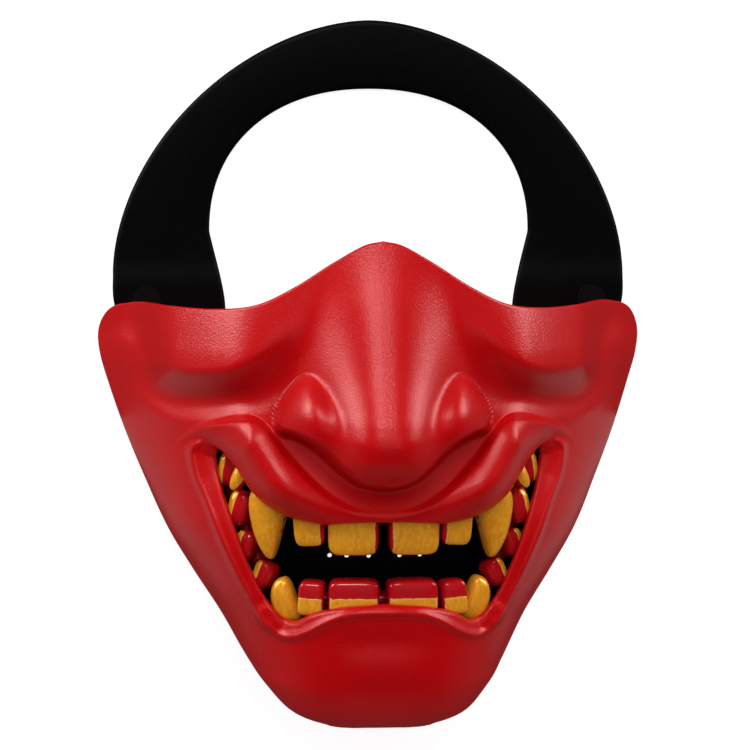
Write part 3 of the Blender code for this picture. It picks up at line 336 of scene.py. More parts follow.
def curve_through(points, count):
    """Return count points on a smooth line through points (Catmull-Rom, centripetal)."""
    knots = np.array(points, float)
    padded = np.vstack([2 * knots[0] - knots[1], knots, 2 * knots[-1] - knots[-2]])
    length = np.maximum(np.linalg.norm(np.diff(padded, axis=0), axis=1), TINY) ** 0.5
    time = np.concatenate([[0.0], np.cumsum(length)])
    wanted = np.linspace(time[1], time[-2], count)
    span = np.clip(np.searchsorted(time, wanted, side="right") - 1, 1, len(knots) - 1)
    p0, p1, p2, p3 = (padded[span + k] for k in (-1, 0, 1, 2))
    t0, t1, t2, t3 = (time[span + k][:, None] for k in (-1, 0, 1, 2))
    t = wanted[:, None]
    a1 = ((t1 - t) * p0 + (t - t0) * p1) / (t1 - t0)
    a2 = ((t2 - t) * p1 + (t - t1) * p2) / (t2 - t1)
    a3 = ((t3 - t) * p2 + (t - t2) * p3) / (t3 - t2)
    b1 = ((t2 - t) * a1 + (t - t0) * a2) / (t2 - t0)
    b2 = ((t3 - t) * a2 + (t - t1) * a3) / (t3 - t1)
    return ((t2 - t) * b1 + (t - t1) * b2) / (t2 - t1)


def column(rows, index, at):
    """Read one column of a table at the levels at, smoothly and without overshoot."""
    rows = sorted(rows)
    x = np.array([row[0] for row in rows])
    y = np.array([row[index] for row in rows])
    step = np.diff(x)
    slope = np.diff(y) / step
    inner = np.where(slope[:-1] * slope[1:] > 0,
                     2 * slope[:-1] * slope[1:]
                     / (slope[:-1] + slope[1:] + TINY * (slope[:-1] == -slope[1:])), 0.0)
    tangent = np.concatenate([[slope[0]], inner, [slope[-1]]])
    at = np.clip(at, x[0], x[-1])
    k = np.clip(np.searchsorted(x, at, side="right") - 1, 0, len(x) - 2)
    t = (at - x[k]) / step[k]
    return ((1 + 2 * t) * (1 - t) ** 2 * y[k] + t * (1 - t) ** 2 * step[k] * tangent[k]
            + t * t * (3 - 2 * t) * y[k + 1] + t * t * (t - 1) * step[k] * tangent[k + 1])


def evenly(line, count):
    """Return count points evenly spaced along a line of points."""
    length = np.concatenate([[0.0], np.cumsum(np.linalg.norm(np.diff(line, axis=0), axis=1))])
    at = np.linspace(0.0, length[-1], count)
    return np.column_stack([np.interp(at, length, values) for values in line.T])


def smooth(value):
    """Ease from 0 to 1 as value goes from 0 to 1."""
    t = np.clip(value, 0.0, 1.0)
    return t * t * (3 - 2 * t)


def metres(points):
    """Turn (out, up) shares into places in the XY plane."""
    points = np.array(points, float)
    return np.stack([points[:, 0] * HALF, CHIN_Y + points[:, 1] * FACE_LENGTH], axis=-1)


def beside(line, x, y):
    """Return how far each point lies to the left of a line (negative: right) and how far along it."""
    best = np.full(x.shape, FAR)
    side = np.zeros(x.shape)
    along = np.zeros(x.shape)
    lengths = np.linalg.norm(np.diff(line, axis=0), axis=1)
    starts = np.concatenate([[0.0], np.cumsum(lengths)])
    for k in range(len(line) - 1):
        dx, dy = (line[k + 1] - line[k]) / lengths[k]
        px = x - line[k, 0]
        py = y - line[k, 1]
        run = np.clip(px * dx + py * dy, 0.0, lengths[k])
        away = np.hypot(px - run * dx, py - run * dy)
        nearer = away < best
        best = np.where(nearer, away, best)
        side = np.where(nearer, np.sign(dx * py - dy * px), side)
        along = np.where(nearer, (starts[k] + run) / starts[-1], along)
    return best * np.where(side == 0, 1.0, side), along


def half_width_at(y):
    """Half width of the outline at a height y."""
    line = curve_through(metres([row[2:4] for row in SPOKES]), OUTLINE_POINTS)
    widest = int(np.argmax(line[:, 0]))
    lower = line[widest:][::-1]
    order = np.argsort(lower[:, 1])
    return np.maximum(np.interp(y, lower[order, 1], lower[order, 0]), LEAST_HALF * HALF)


def head_form(x, y):
    """Height of the plain head form under all features."""
    up = (y - CHIN_Y) / FACE_LENGTH
    middle = column(SECTIONS, 1, up)
    side = column(SECTIONS, 2, up)
    fullness = column(SECTIONS, 3, up)
    t = np.clip(np.abs(x) / half_width_at(y), 0.0, 1.0)
    return FACE_DEPTH * (side + (middle - side) * (1 - t ** SIDE_POWER) ** fullness)


def lip_corner(x, y):
    """Round swelling at the corner of the lower lip."""
    out, up, half_size, rise = LIP_CORNER
    reach = np.hypot(np.abs(x) / HALF - out, (y - CHIN_Y - up * FACE_LENGTH) / HALF) / half_size
    return rise * FACE_DEPTH * smooth((1 - reach) / SWELL_EDGE)


def nose(x, y):
    """Height of the nose and its wings above the head form."""
    up = (y - CHIN_Y) / FACE_LENGTH
    half = column(NOSE, 1, up) * HALF
    rise = column(NOSE, 2, up) * FACE_DEPTH
    ridge = column(NOSE, 3, up) * HALF
    flat = np.sqrt(x ** 2 + (ridge / 2) ** 2) - ridge / 2
    t = np.clip(flat / half, 0.0, 1.0)
    blade = rise * (1 - t ** NOSE_FLANK[0]) ** NOSE_FLANK[1]
    out, level, half_out, half_up, ball_rise = WING_BALL
    outer_steep, inner_steep, narrowing = WING_BALL_FORM
    along = (y - CHIN_Y - level * FACE_LENGTH) / HALF / half_up
    across = (np.abs(x) / HALF - out) / (half_out * (1 - narrowing * np.clip(along, -1.0, 1.0)))
    steep = outer_steep + (inner_steep - outer_steep) * smooth((1 - across) / 2)
    ball = ball_rise * FACE_DEPTH * np.clip(1 - across ** 2 - along ** 2, 0.0, 1.0) ** steep
    both = blade + ball * (1 - blade / np.maximum(rise, ball_rise * FACE_DEPTH))
    edge, _ = beside(curve_through(metres(NOSE_EDGE), LINE_POINTS), np.abs(x), y)
    inside = smooth(0.5 + edge / (NOSE_CUT_WIDTH * HALF))
    hollow = smooth(1 - np.abs(edge) / (NOSE_HOLLOW * HALF))
    ending = smooth((NOSE_EDGE[-1][0] - np.abs(x) / HALF) / NOSE_HOLLOW_END)
    return both * inside - NOSE_STEP * FACE_DEPTH * hollow * ending * (1 - inside)


def cheek(x, y):
    """Pillow of the cheek: steep from its foot to its crest, then gentle towards the eyes."""
    outside, _ = beside(curve_through(metres(CHEEK_EDGE), LINE_POINTS), np.abs(x), y)
    foot = -outside / HALF
    level = (y - CHIN_Y) / FACE_LENGTH
    fade = smooth((np.abs(x) / HALF - CHEEK_FADE[0]) / CHEEK_FADE[1])
    climb = smooth(foot / CHEEK_CLIMB)
    fall = 1 - CHEEK_FALL * smooth((level - CHEEK_CREST) / (1 - CHEEK_CREST))
    trough = np.exp(-((foot + TROUGH_AWAY) / TROUGH_WIDTH) ** 2)
    return FACE_DEPTH * fade * (CHEEK_RISE * climb * fall - TROUGH_SINK * trough)


def cheek_fold(x, y):
    """Thin roll outside the cheek's trough."""
    away, along = beside(curve_through(metres(FOLD), LINE_POINTS), np.abs(x), y)
    ends = smooth(along / FOLD_END[0]) * smooth((1 - along) / FOLD_END[1])
    return FOLD_RISE * FACE_DEPTH * np.exp(-(away / HALF / FOLD_WIDTH) ** 2) * ends


def below_lip(x, y):
    """Distance from the upper lip's lower edge to the places below it, negative above it."""
    line = list(LIP_UNDERSIDE) + [row[:2] for row in SPOKES[8::-1]] + [(-SPOKES[1][0], SPOKES[1][1])]
    return beside(curve_through(metres(line), LINE_POINTS), np.abs(x), y)[0]


def upper_lip(x, y, below):
    """Moustache-shaped upper lip: a roll with a small step along its upper edge."""
    edge, along = beside(curve_through(metres(LIP_EDGE), LINE_POINTS), np.abs(x), y)
    step = smooth(0.5 + edge / (LIP_STEP_WIDTH * HALF))
    fade = smooth(np.minimum(along / LIP_FADE[0], (1.0 - along) / LIP_FADE[1]))
    strength = LIP_END + (1 - LIP_END) * fade
    inward = np.maximum(edge, 0.0)
    upward = np.maximum(-below, 0.0)
    rise = 1 - (1 - np.minimum(inward / LIP_ROLL_SIDES[0] / HALF, 1.0)) ** 2
    curl = 1 - (1 - np.minimum(upward / LIP_ROLL_SIDES[1] / HALF, 1.0)) ** 2
    return LIP_STEP * FACE_DEPTH * strength * step * curl + LIP_ROLL * (inward + upward) * rise * curl


def lower_lip(x, y, under):
    """Thin raised line round the lower lip and the slope from it down to the teeth."""
    edge, along = beside(curve_through(metres(RIDGE), LINE_POINTS), np.abs(x), y)
    inward = -edge / HALF
    line = RIDGE_RISE * np.exp(-(inward / RIDGE_WIDTH) ** 2)
    at_side = smooth((SIDE_SHARE[1] - along) / (SIDE_SHARE[1] - SIDE_SHARE[0]))
    sink = LIP_SINK * smooth(inward / LIP_SINK_WIDTH) * (LIP_SINK_END + (1 - LIP_SINK_END) * at_side)
    below = smooth((along - GROOVE_SHARE[0]) / (GROOVE_SHARE[1] - GROOVE_SHARE[0]))
    groove = GROOVE_SINK * np.exp(-((inward + GROOVE_AWAY) / GROOVE_WIDTH) ** 2) * below
    return FACE_DEPTH * (line - sink - groove) * under


def face_height(x, y):
    """Height of the mask's outer surface above the plane that it lies on."""
    below = below_lip(x, y)
    under = smooth(below / (LIP_CUT_WIDTH * HALF))
    plain = head_form(x, y) + nose(x, y) + cheek(x, y) + lip_corner(x, y)
    return plain + cheek_fold(x, y) + upper_lip(x, y, below) + lower_lip(x, y, under)


def inside_mouth(x, y):
    """Tell which places lie in the mouth's opening."""
    right = curve_through(metres([row[:2] for row in SPOKES]), 2 * SPOKES_PER_SIDE + 1)
    loop = np.vstack([right, right[-2:0:-1] * np.array([-1.0, 1.0])])
    inside = np.zeros(x.shape, bool)
    for (x1, y1), (x2, y2) in zip(loop, np.roll(loop, -1, axis=0)):
        if y1 != y2:
            crosses = (y > y1) != (y > y2)
            inside ^= crosses & (x < x1 + (x2 - x1) * (y - y1) / (y2 - y1))
    return inside


def away_from_mouth(lips):
    """Directions square to the mouth's edge, evened out from spoke to spoke."""
    mirrored = np.vstack([lips[1] * (-1, 1), lips, lips[-2] * (-1, 1)])
    run = mirrored[2:] - mirrored[:-2]
    away = np.column_stack([-run[:, 1], run[:, 0]])
    away /= np.linalg.norm(away, axis=1, keepdims=True)
    for _ in range(SPOKE_EVENING):
        away[1:-1] = (away[:-2] + 2 * away[1:-1] + away[2:]) / 4
    return away / np.linalg.norm(away, axis=1, keepdims=True)


def surface_spokes(per_side, rings):
    """Outer surface as a grid of points: a row for each spoke of the right half, a column for each ring."""
    count = per_side + 1
    order = np.arange(len(SPOKES))
    guide = curve_through(np.column_stack([metres([row[:2] for row in SPOKES]),
                                           metres([row[2:4] for row in SPOKES]), order]), count)
    lips = guide[:, 0:2]
    edges = guide[:, 2:4]
    lips[[0, -1], 0] = 0.0
    edges[[0, -1], 0] = 0.0
    away = away_from_mouth(lips)
    grid = np.zeros((count, rings, 3))
    share = np.linspace(0.0, 1.0, SAMPLES)[:, None]
    for k in range(count):
        whole = edges[k] - lips[k]
        bend = lips[k] + SPOKE_BOW * np.linalg.norm(whole) * away[k]
        flat = lips[k] * (1 - share) ** 2 + 2 * bend * share * (1 - share) + edges[k] * share ** 2
        height = face_height(flat[:, 0], flat[:, 1])
        line = np.column_stack([flat, height])
        rim = rim_height(guide[k, 4], height[-1])
        if rim < height[-1] - GAP:
            fall = np.linspace(0.0, 1.0, SAMPLES)[1:, None]
            tuck = SKIRT_TUCK * (height[-1] - rim)
            inward = -whole / np.linalg.norm(whole)
            skirt = np.column_stack([edges[k] + inward * tuck * fall ** 2,
                                     height[-1] + (rim - height[-1]) * fall[:, 0]])
            line = np.vstack([line, skirt])
        grid[k] = evenly(line, rings)
    return grid


def rim_height(order, outline_height):
    """Height of the shell's back edge on one spoke, given by its place in the SPOKES table."""
    stated = [(k, row[4]) for k, row in enumerate(SPOKES) if row[4] is not None]
    first = stated[0][0]
    if order <= first - 1:
        return outline_height
    deep = np.interp(order, [k for k, _ in stated], [deep for _, deep in stated]) * FACE_DEPTH
    share = smooth(order - first + 1)
    return min(outline_height, outline_height + (deep - outline_height) * share)


def smoothed(grid, rounds):
    """Even out a closed grid of points, spoke by spoke and ring by ring, with its two borders kept."""
    result = grid.copy()
    for _ in range(rounds):
        round_about = (np.roll(result, 1, axis=0) + np.roll(result, -1, axis=0)) / 2
        result = (result + round_about) / 2
        result[:, 1:-1] = result[:, 1:-1] / 2 + (result[:, :-2] + result[:, 2:]) / 4
    return result


def outward_normals(grid):
    """Unit normals of a closed grid of points, away from the face."""
    about = np.roll(grid, -1, axis=0) - np.roll(grid, 1, axis=0)
    along = np.gradient(grid, axis=1)
    normal = np.cross(along, about)
    normal /= np.linalg.norm(normal, axis=2, keepdims=True)
    return normal * np.sign(normal[:, :1, 2:3])


class InnerSurface:
    """Surface that a ball of the wall's thickness touches from inside as it rolls over the face."""

    def __init__(self):
        margin = FIELD_MARGIN * HALF
        self.x = np.arange(-HALF - margin, HALF + margin, FIELD_STEP)
        self.y = np.arange(CHIN_Y - margin, BRIDGE_Y + margin, FIELD_STEP)
        across, level = np.meshgrid(self.x, self.y)
        outer = face_height(across.ravel(), level.ravel()).reshape(across.shape)
        outer = np.where(inside_mouth(across, level), FAR, outer)
        reach = int(WALL / FIELD_STEP) + 1
        padded = np.pad(outer, reach, mode="edge")
        lowest = np.full(outer.shape, FAR)
        for row in range(-reach, reach + 1):
            for col in range(-reach, reach + 1):
                rest = WALL ** 2 - (row * FIELD_STEP) ** 2 - (col * FIELD_STEP) ** 2
                if rest >= 0:
                    part = padded[reach + row:reach + row + outer.shape[0],
                                  reach + col:reach + col + outer.shape[1]]
                    lowest = np.minimum(lowest, part - math.sqrt(rest))
        plain = head_form(across.ravel(), level.ravel()).reshape(across.shape) - WALL
        self.field = np.where(lowest > FAR / 2, plain, lowest)

    def height(self, x, y):
        """Height of the inner surface above the plane that the mask lies on."""
        col = np.clip((np.asarray(x) - self.x[0]) / FIELD_STEP, 0, len(self.x) - 1 - CELL_SLACK)
        row = np.clip((np.asarray(y) - self.y[0]) / FIELD_STEP, 0, len(self.y) - 1 - CELL_SLACK)
        c = col.astype(int)
        r = row.astype(int)
        dc = col - c
        dr = row - r
        low = self.field[r, c] * (1 - dc) + self.field[r, c + 1] * dc
        high = self.field[r + 1, c] * (1 - dc) + self.field[r + 1, c + 1] * dc
        return low * (1 - dr) + high * dr


def closed_grid(per_side, rings):
    """Outer surface of the whole mask: spokes all the way round, rings from the mouth to the rim."""
    right = surface_spokes(per_side, rings)
    left = right[1:-1][::-1] * np.array([-1.0, 1.0, 1.0])
    return np.concatenate([right, left])


def inner_grid(outer, inner_surface, picked):
    """Inner surface, one point for each picked ring of each spoke."""
    normal = outward_normals(smoothed(outer, NORMAL_EVENING))
    steps = np.linalg.norm(np.diff(outer, axis=1), axis=2)
    start = np.zeros((len(outer), 1))
    from_lip = np.concatenate([start, np.cumsum(steps, axis=1)], axis=1)
    to_rim = from_lip[:, -1:] - from_lip
    sideways = smooth(from_lip / (LIP_BAND * WALL))[..., None] * WALL * normal[..., :2]
    flat = outer[..., :2] - sideways
    found = np.minimum(inner_surface.height(flat[..., 0], flat[..., 1]), outer[..., 2] - LEAST_WALL * WALL)
    skirt = (np.abs(normal[..., 2]) < STEEP) & (to_rim < from_lip)
    share = np.where(skirt, 1.0, smooth(2 - 2 * to_rim / (RIM_BAND * WALL)))
    height = (outer[..., 2] - WALL * normal[..., 2]) * share + found * (1 - share)
    return np.dstack([flat, height])[:, picked]


def bulge(first, last, count, reach):
    """Round the edge between two border lines of points with count lines, reach deep."""
    lines = []
    for k in range(1, count + 1):
        angle = math.pi * k / (count + 1)
        lines.append(first * (1 + math.cos(angle)) / 2 + last * (1 - math.cos(angle)) / 2
                     + reach * math.sin(angle))
    return lines


def shell_lines(per_side, outer_rings, inner_rings, edge_lines, inner_surface):
    """Lines of points round the wall: out over the face, round the rim, back inside, round the lips."""
    outer = closed_grid(per_side, outer_rings)
    picked = np.unique(np.linspace(0, outer_rings - 1, inner_rings).round().astype(int))
    inner = inner_grid(outer, inner_surface, picked)
    rim_out = outer[:, -1] - outer[:, -2]
    rim_out = rim_out / np.linalg.norm(rim_out, axis=1, keepdims=True) * EDGE_ROUND * WALL
    lip_out = outer[:, 0] - outer[:, 1]
    lip_out = lip_out / np.linalg.norm(lip_out, axis=1, keepdims=True) * EDGE_ROUND * WALL
    lines = [outer[:, k] for k in range(outer_rings)]
    lines += bulge(outer[:, -1], inner[:, -1], edge_lines, rim_out)
    lines += [inner[:, k] for k in range(len(picked) - 1, -1, -1)]
    lines += bulge(inner[:, 0], outer[:, 0], edge_lines, lip_out)
    return np.array(lines)


def ring_of_lines(lines, wrap_spokes):
    """Bend a flat grid over lines of points: lines run one way, the points of each the other way."""
    rows = len(lines)
    cols = len(lines[0])
    bm = bmesh.new()
    bmesh.ops.create_grid(bm, x_segments=cols if wrap_spokes else cols - 1, y_segments=rows, size=1.0)
    across = cols if wrap_spokes else cols - 1
    for vert in bm.verts:
        col = round((vert.co.x + 1) / 2 * across) % cols
        row = round((vert.co.y + 1) / 2 * rows) % rows
        vert.co = lines[row][col]
    bmesh.ops.remove_doubles(bm, verts=bm.verts, dist=MERGE)
    bmesh.ops.triangulate(bm, faces=bm.faces, quad_method="SHORT_EDGE")
    return bm


def tooth(out, up, half_wide, half_tall, half_thick, taper, bend, turn, yaw, squareness, points_up):
    """One tooth as a squared ball, narrower towards its tip, bent to the side and turned into the arch."""
    bm = bmesh.new()
    bmesh.ops.create_uvsphere(bm, u_segments=TOOTH_SIDES, v_segments=TOOTH_RINGS, radius=1.0,
                              matrix=Matrix.Rotation(math.pi / 2, 4, "X"))
    bmesh.ops.triangulate(bm, faces=bm.faces, quad_method="SHORT_EDGE")
    local = bm.verts.layers.float_vector.new("local")
    tip = 1.0 if points_up else -1.0
    late, follow = TOOTH_FORM
    for vert in bm.verts:
        across, along, deep = (math.copysign(abs(value) ** squareness, value) for value in vert.co)
        vert[local] = (across, along, deep)
        to_tip = (along * tip + 1) / 2
        width = half_wide * (1 - (1 - taper) * to_tip ** late)
        thickness = half_thick * (1 - follow * (1 - taper) * to_tip)
        aside = bend * (1 / 4 - 2 * (to_tip - 1 / 2) ** 2)
        vert.co = Vector((across * width + aside, along * half_tall, deep * thickness)) * HALF
    place = Matrix.Translation(Vector((out * HALF, CHIN_Y + up * FACE_LENGTH, -FACE_DEPTH)))
    spin = Matrix.Rotation(math.radians(-turn), 4, "Z") @ Matrix.Rotation(math.radians(yaw), 4, "Y")
    bmesh.ops.transform(bm, verts=bm.verts, matrix=place @ spin)
    return bm


def gum(diameter, stops, both_halves, side):
    """A gum as a bar along its stops, standing below everything until it is lifted."""
    line = metres(stops)
    if both_halves:
        line = np.vstack([line[:0:-1] * np.array([-1.0, 1.0]), line])
    path = curve_through(line, GUM_STATIONS * (len(line) - 1) + 1) * np.array([side, 1.0])
    form = head_form(path[:, 0], path[:, 1])
    turns = np.linspace(0, 2 * math.pi, GUM_SIDES, endpoint=False)
    run = np.gradient(np.column_stack([path, form]), axis=0)
    run /= np.linalg.norm(run, axis=1, keepdims=True)
    over = np.cross(run, (0, 0, 1.0))
    over /= np.linalg.norm(over, axis=1, keepdims=True)
    upward = np.cross(over, run)
    middle = np.column_stack([path, form - 2 * FACE_DEPTH])
    lines = [middle + diameter / 2 * (math.cos(a) * over + math.sin(a) * upward) for a in turns]
    bm = ring_of_lines(lines, False)
    close_ends(bm)
    return bm


def close_ends(bm):
    """Close the two open ends of a tube."""
    bmesh.ops.holes_fill(bm, edges=[edge for edge in bm.edges if edge.is_boundary], sides=0)
    bmesh.ops.recalc_face_normals(bm, faces=bm.faces)


def strap_edges(count):
    """Outer and inner edge of the strap's right half, from its hidden end to the top of the arch."""
    wing = CHIN_Y + WING_TOP * FACE_LENGTH
    top = BRIDGE_Y + STRAP_REACH
    turn = np.linspace(0, math.pi / 2, SAMPLES)
    edges = []
    for half, (level, power), top_y, end_out, wing_out in (
            (STRAP_HALF, STRAP_OUTER, top, TAB_OUT, WING_OUT),
            (STRAP_HALF - STRAP_SIDE, STRAP_INNER, top - STRAP_BAND, TAB_IN, WING_IN)):
        widest = wing + level * (top - wing)
        arc = np.column_stack([half * np.cos(turn) ** (2 / power),
                               widest + (top_y - widest) * np.sin(turn) ** (2 / power)])
        leg = np.array([[end_out * STRAP_HALF, wing - TAB_LENGTH],
                        [(end_out + wing_out) / 2 * STRAP_HALF, wing - TAB_LENGTH / 2],
                        [wing_out * STRAP_HALF, wing]])
        line = np.vstack([curve_through(np.vstack([leg, arc[:1]]), SAMPLES)[:-1], arc])
        edges.append(evenly(line, count))
    return edges


def strap_height(y):
    """Height of the middle of the strap's thickness: flat on the ground, its ends a little raised."""
    wing = CHIN_Y + WING_TOP * FACE_LENGTH
    lift = smooth((wing - y) / STUD_DIAMETER + LIFT_START)
    return STRAP_THICK / 2 + (CAP_THICK + GAP) * lift


def finished(name, bm, material, slot, *nodes):
    """Make one smooth piece of a bmesh that stands for the given nodes of the frame."""
    bmesh.ops.remove_doubles(bm, verts=bm.verts, dist=MERGE)
    bmesh.ops.recalc_face_normals(bm, faces=bm.faces)
    mesh = bpy.data.meshes.new(name)
    bm.to_mesh(mesh)
    bm.free()
    mesh.shade_smooth()
    mesh.materials.append(material)
    piece = bpy.data.objects.new(name, mesh)
    bpy.context.scene.collection.objects.link(piece)
    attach(piece, "root")
    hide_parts(*nodes)


def hex_color(text):
    """Turn an sRGB hex value into linear red, green, blue and alpha."""
    values = [int(text[k:k + 2], 16) / 255 for k in (1, 3, 5)]
    return (*[v / 12.92 if v <= 0.04045 else ((v + 0.055) / 1.055) ** 2.4 for v in values], 1.0)


def add(tree, kind, links=None, **settings):
    """Add a node, set its properties or input values, and link the given inputs to other sockets."""
    node = tree.nodes.new(kind)
    for name, value in settings.items():
        if hasattr(node, name):
            setattr(node, name, value)
        else:
            node.inputs[name.replace("_", " ")].default_value = value
    for name, socket in (links or {}).items():
        tree.links.new(socket, node.inputs[name])
    return node


def new_material(name):
    """Start a material with its Principled shader and Object coordinates.

    The scale of a noise is one over the size of its blots in metres: 1000 gives blots of 1 mm.
    """
    material = bpy.data.materials.new(name)
    material.use_nodes = True
    tree = material.node_tree
    shader = tree.nodes["Principled BSDF"]
    place = add(tree, "ShaderNodeTexCoord").outputs["Object"]
    return material, tree, shader, place


def red_satin():
    """Satin red lacquer over moulded polyurethane: deep red, its highlights broken up by orange-peel."""
    material, tree, shader, place = new_material("red_satin_lacquer_on_polyurethane")
    cloud = add(tree, "ShaderNodeTexNoise", {"Vector": place}, Scale=28.0, Detail=3.0)
    tone = add(tree, "ShaderNodeMix", {"Factor": cloud.outputs["Fac"]}, data_type="RGBA")
    tone.inputs[6].default_value = hex_color("#9E0307")
    tone.inputs[7].default_value = hex_color("#AC0408")
    tree.links.new(tone.outputs[2], shader.inputs["Base Color"])
    # Orange-peel of a sprayed coat: about 0.4 mm in reality, drawn at 0.6 mm so that it shows.
    peel = add(tree, "ShaderNodeTexNoise", {"Vector": place}, Scale=1600.0, Detail=2.0)
    bump = add(tree, "ShaderNodeBump", {"Height": peel.outputs["Fac"]}, Strength=0.5, Distance=0.0002)
    tree.links.new(bump.outputs["Normal"], shader.inputs["Normal"])
    rough = add(tree, "ShaderNodeMapRange", {"Value": cloud.outputs["Fac"]}, To_Min=0.27, To_Max=0.33)
    tree.links.new(rough.outputs["Result"], shader.inputs["Roughness"])
    # Pigment in the lacquer's skin warms its reflections.
    shader.inputs["Specular Tint"].default_value = (1.0, 0.55, 0.55, 1.0)
    return material


def varnished_red():
    """Glossy red varnish in the mouth: wet-looking, with a slightly uneven skin."""
    material, tree, shader, place = new_material("gloss_varnish_on_red_polyurethane")
    cloud = add(tree, "ShaderNodeTexNoise", {"Vector": place}, Scale=160.0, Detail=2.0)
    tone = add(tree, "ShaderNodeMix", {"Factor": cloud.outputs["Fac"]}, data_type="RGBA")
    tone.inputs[6].default_value = hex_color("#8E0710")
    tone.inputs[7].default_value = hex_color("#B80B14")
    tree.links.new(tone.outputs[2], shader.inputs["Base Color"])
    bump = add(tree, "ShaderNodeBump", {"Height": cloud.outputs["Fac"]}, Strength=0.35, Distance=0.0006)
    tree.links.new(bump.outputs["Normal"], shader.inputs["Normal"])
    shader.inputs["Roughness"].default_value = 0.16
    shader.inputs["Coat Weight"].default_value = 0.6
    shader.inputs["Coat Roughness"].default_value = 0.08
    return material


def tooth_paint():
    """Gold enamel brushed by hand over varnished red: streaky gold that ends in a ragged edge.

    The attribute paint holds how far inside the gold each point lies, in mm.
    """
    material, tree, shader, place = new_material("brushed_gold_enamel_over_red_varnish")
    wobble = add(tree, "ShaderNodeTexNoise", {"Vector": place}, Scale=420.0, Detail=3.0)
    streaks_at = add(tree, "ShaderNodeMapping", {"Vector": place},
                     Scale=(1.0, 0.55, 1.0), Rotation=(0.0, 0.0, 0.9))
    streaks = add(tree, "ShaderNodeTexNoise", {"Vector": streaks_at.outputs["Vector"]},
                  Scale=900.0, Detail=4.0)
    blot = add(tree, "ShaderNodeTexNoise", {"Vector": place}, Scale=170.0, Detail=2.0)
    inside = add(tree, "ShaderNodeAttribute", attribute_name="paint")
    ragged = add(tree, "ShaderNodeMath", {0: wobble.outputs["Fac"], 2: inside.outputs["Fac"]},
                 operation="MULTIPLY_ADD")
    ragged.inputs[1].default_value = 0.9
    cover = add(tree, "ShaderNodeMapRange", {"Value": ragged.outputs[0]}, From_Min=0.40, From_Max=0.55)
    rim = add(tree, "ShaderNodeMapRange", {"Value": ragged.outputs[0]}, From_Min=0.55, From_Max=1.15)
    gold = add(tree, "ShaderNodeValToRGB", {"Fac": streaks.outputs["Fac"]})
    gold.color_ramp.elements[0].position = 0.30
    gold.color_ramp.elements[0].color = hex_color("#CE8414")
    gold.color_ramp.elements[1].position = 0.62
    gold.color_ramp.elements[1].color = hex_color("#FBAC30")
    worn = add(tree, "ShaderNodeMix", {"Factor": blot.outputs["Fac"], 6: gold.outputs["Color"]},
               data_type="RGBA")
    worn.inputs[7].default_value = hex_color("#E6971C")
    edged = add(tree, "ShaderNodeMix", {"Factor": rim.outputs["Result"], 7: worn.outputs[2]},
                data_type="RGBA")
    edged.inputs[6].default_value = hex_color("#EEB250")
    tone = add(tree, "ShaderNodeMix", {"Factor": cover.outputs["Result"], 7: edged.outputs[2]},
               data_type="RGBA")
    tone.inputs[6].default_value = hex_color("#A00A12")
    tree.links.new(tone.outputs[2], shader.inputs["Base Color"])
    rough = add(tree, "ShaderNodeMapRange", {"Value": cover.outputs["Result"]}, To_Min=0.15, To_Max=0.30)
    tree.links.new(rough.outputs["Result"], shader.inputs["Roughness"])
    metal = add(tree, "ShaderNodeMapRange", {"Value": cover.outputs["Result"]}, To_Max=0.35)
    tree.links.new(metal.outputs["Result"], shader.inputs["Metallic"])
    height = add(tree, "ShaderNodeMath", {0: streaks.outputs["Fac"], 1: cover.outputs["Result"]},
                 operation="MULTIPLY")
    bump = add(tree, "ShaderNodeBump", {"Height": height.outputs[0]}, Strength=0.5, Distance=0.0003)
    tree.links.new(bump.outputs["Normal"], shader.inputs["Normal"])
    return material


def black_foam():
    """Closed-cell foam rubber: near-black and matt, with fine pores."""
    material, tree, shader, place = new_material("closed_cell_foam_rubber")
    pores = add(tree, "ShaderNodeTexNoise", {"Vector": place}, Scale=1000.0, Detail=3.0)
    tone = add(tree, "ShaderNodeMix", {"Factor": pores.outputs["Fac"]}, data_type="RGBA")
    tone.inputs[6].default_value = hex_color("#010101")
    tone.inputs[7].default_value = hex_color("#050505")
    tree.links.new(tone.outputs[2], shader.inputs["Base Color"])
    bump = add(tree, "ShaderNodeBump", {"Height": pores.outputs["Fac"]}, Strength=0.3, Distance=0.0002)
    tree.links.new(bump.outputs["Normal"], shader.inputs["Normal"])
    shader.inputs["Roughness"].default_value = 0.5
    shader.inputs["Specular IOR Level"].default_value = 0.08
    return material


def black_nylon():
    """Moulded black nylon of the press studs: smooth, with a slight mould grain."""
    material, tree, shader, place = new_material("moulded_black_nylon")
    grain = add(tree, "ShaderNodeTexNoise", {"Vector": place}, Scale=1300.0, Detail=2.0)
    bump = add(tree, "ShaderNodeBump", {"Height": grain.outputs["Fac"]}, Strength=0.15, Distance=0.0002)
    tree.links.new(bump.outputs["Normal"], shader.inputs["Normal"])
    shader.inputs["Base Color"].default_value = hex_color("#070707")
    shader.inputs["Roughness"].default_value = 0.40
    shader.inputs["Specular IOR Level"].default_value = 0.15
    return material


def black_panel():
    """Thin black vinyl sheet behind the mouth: matt, so that the mouth looks empty and dark."""
    material, tree, shader, place = new_material("black_vinyl_sheet_with_punched_holes")
    grain = add(tree, "ShaderNodeTexNoise", {"Vector": place}, Scale=900.0, Detail=2.0)
    bump = add(tree, "ShaderNodeBump", {"Height": grain.outputs["Fac"]}, Strength=0.2, Distance=0.0002)
    tree.links.new(bump.outputs["Normal"], shader.inputs["Normal"])
    shader.inputs["Base Color"].default_value = hex_color("#050505")
    shader.inputs["Roughness"].default_value = 0.6
    shader.inputs["Specular IOR Level"].default_value = 0.2
    return material


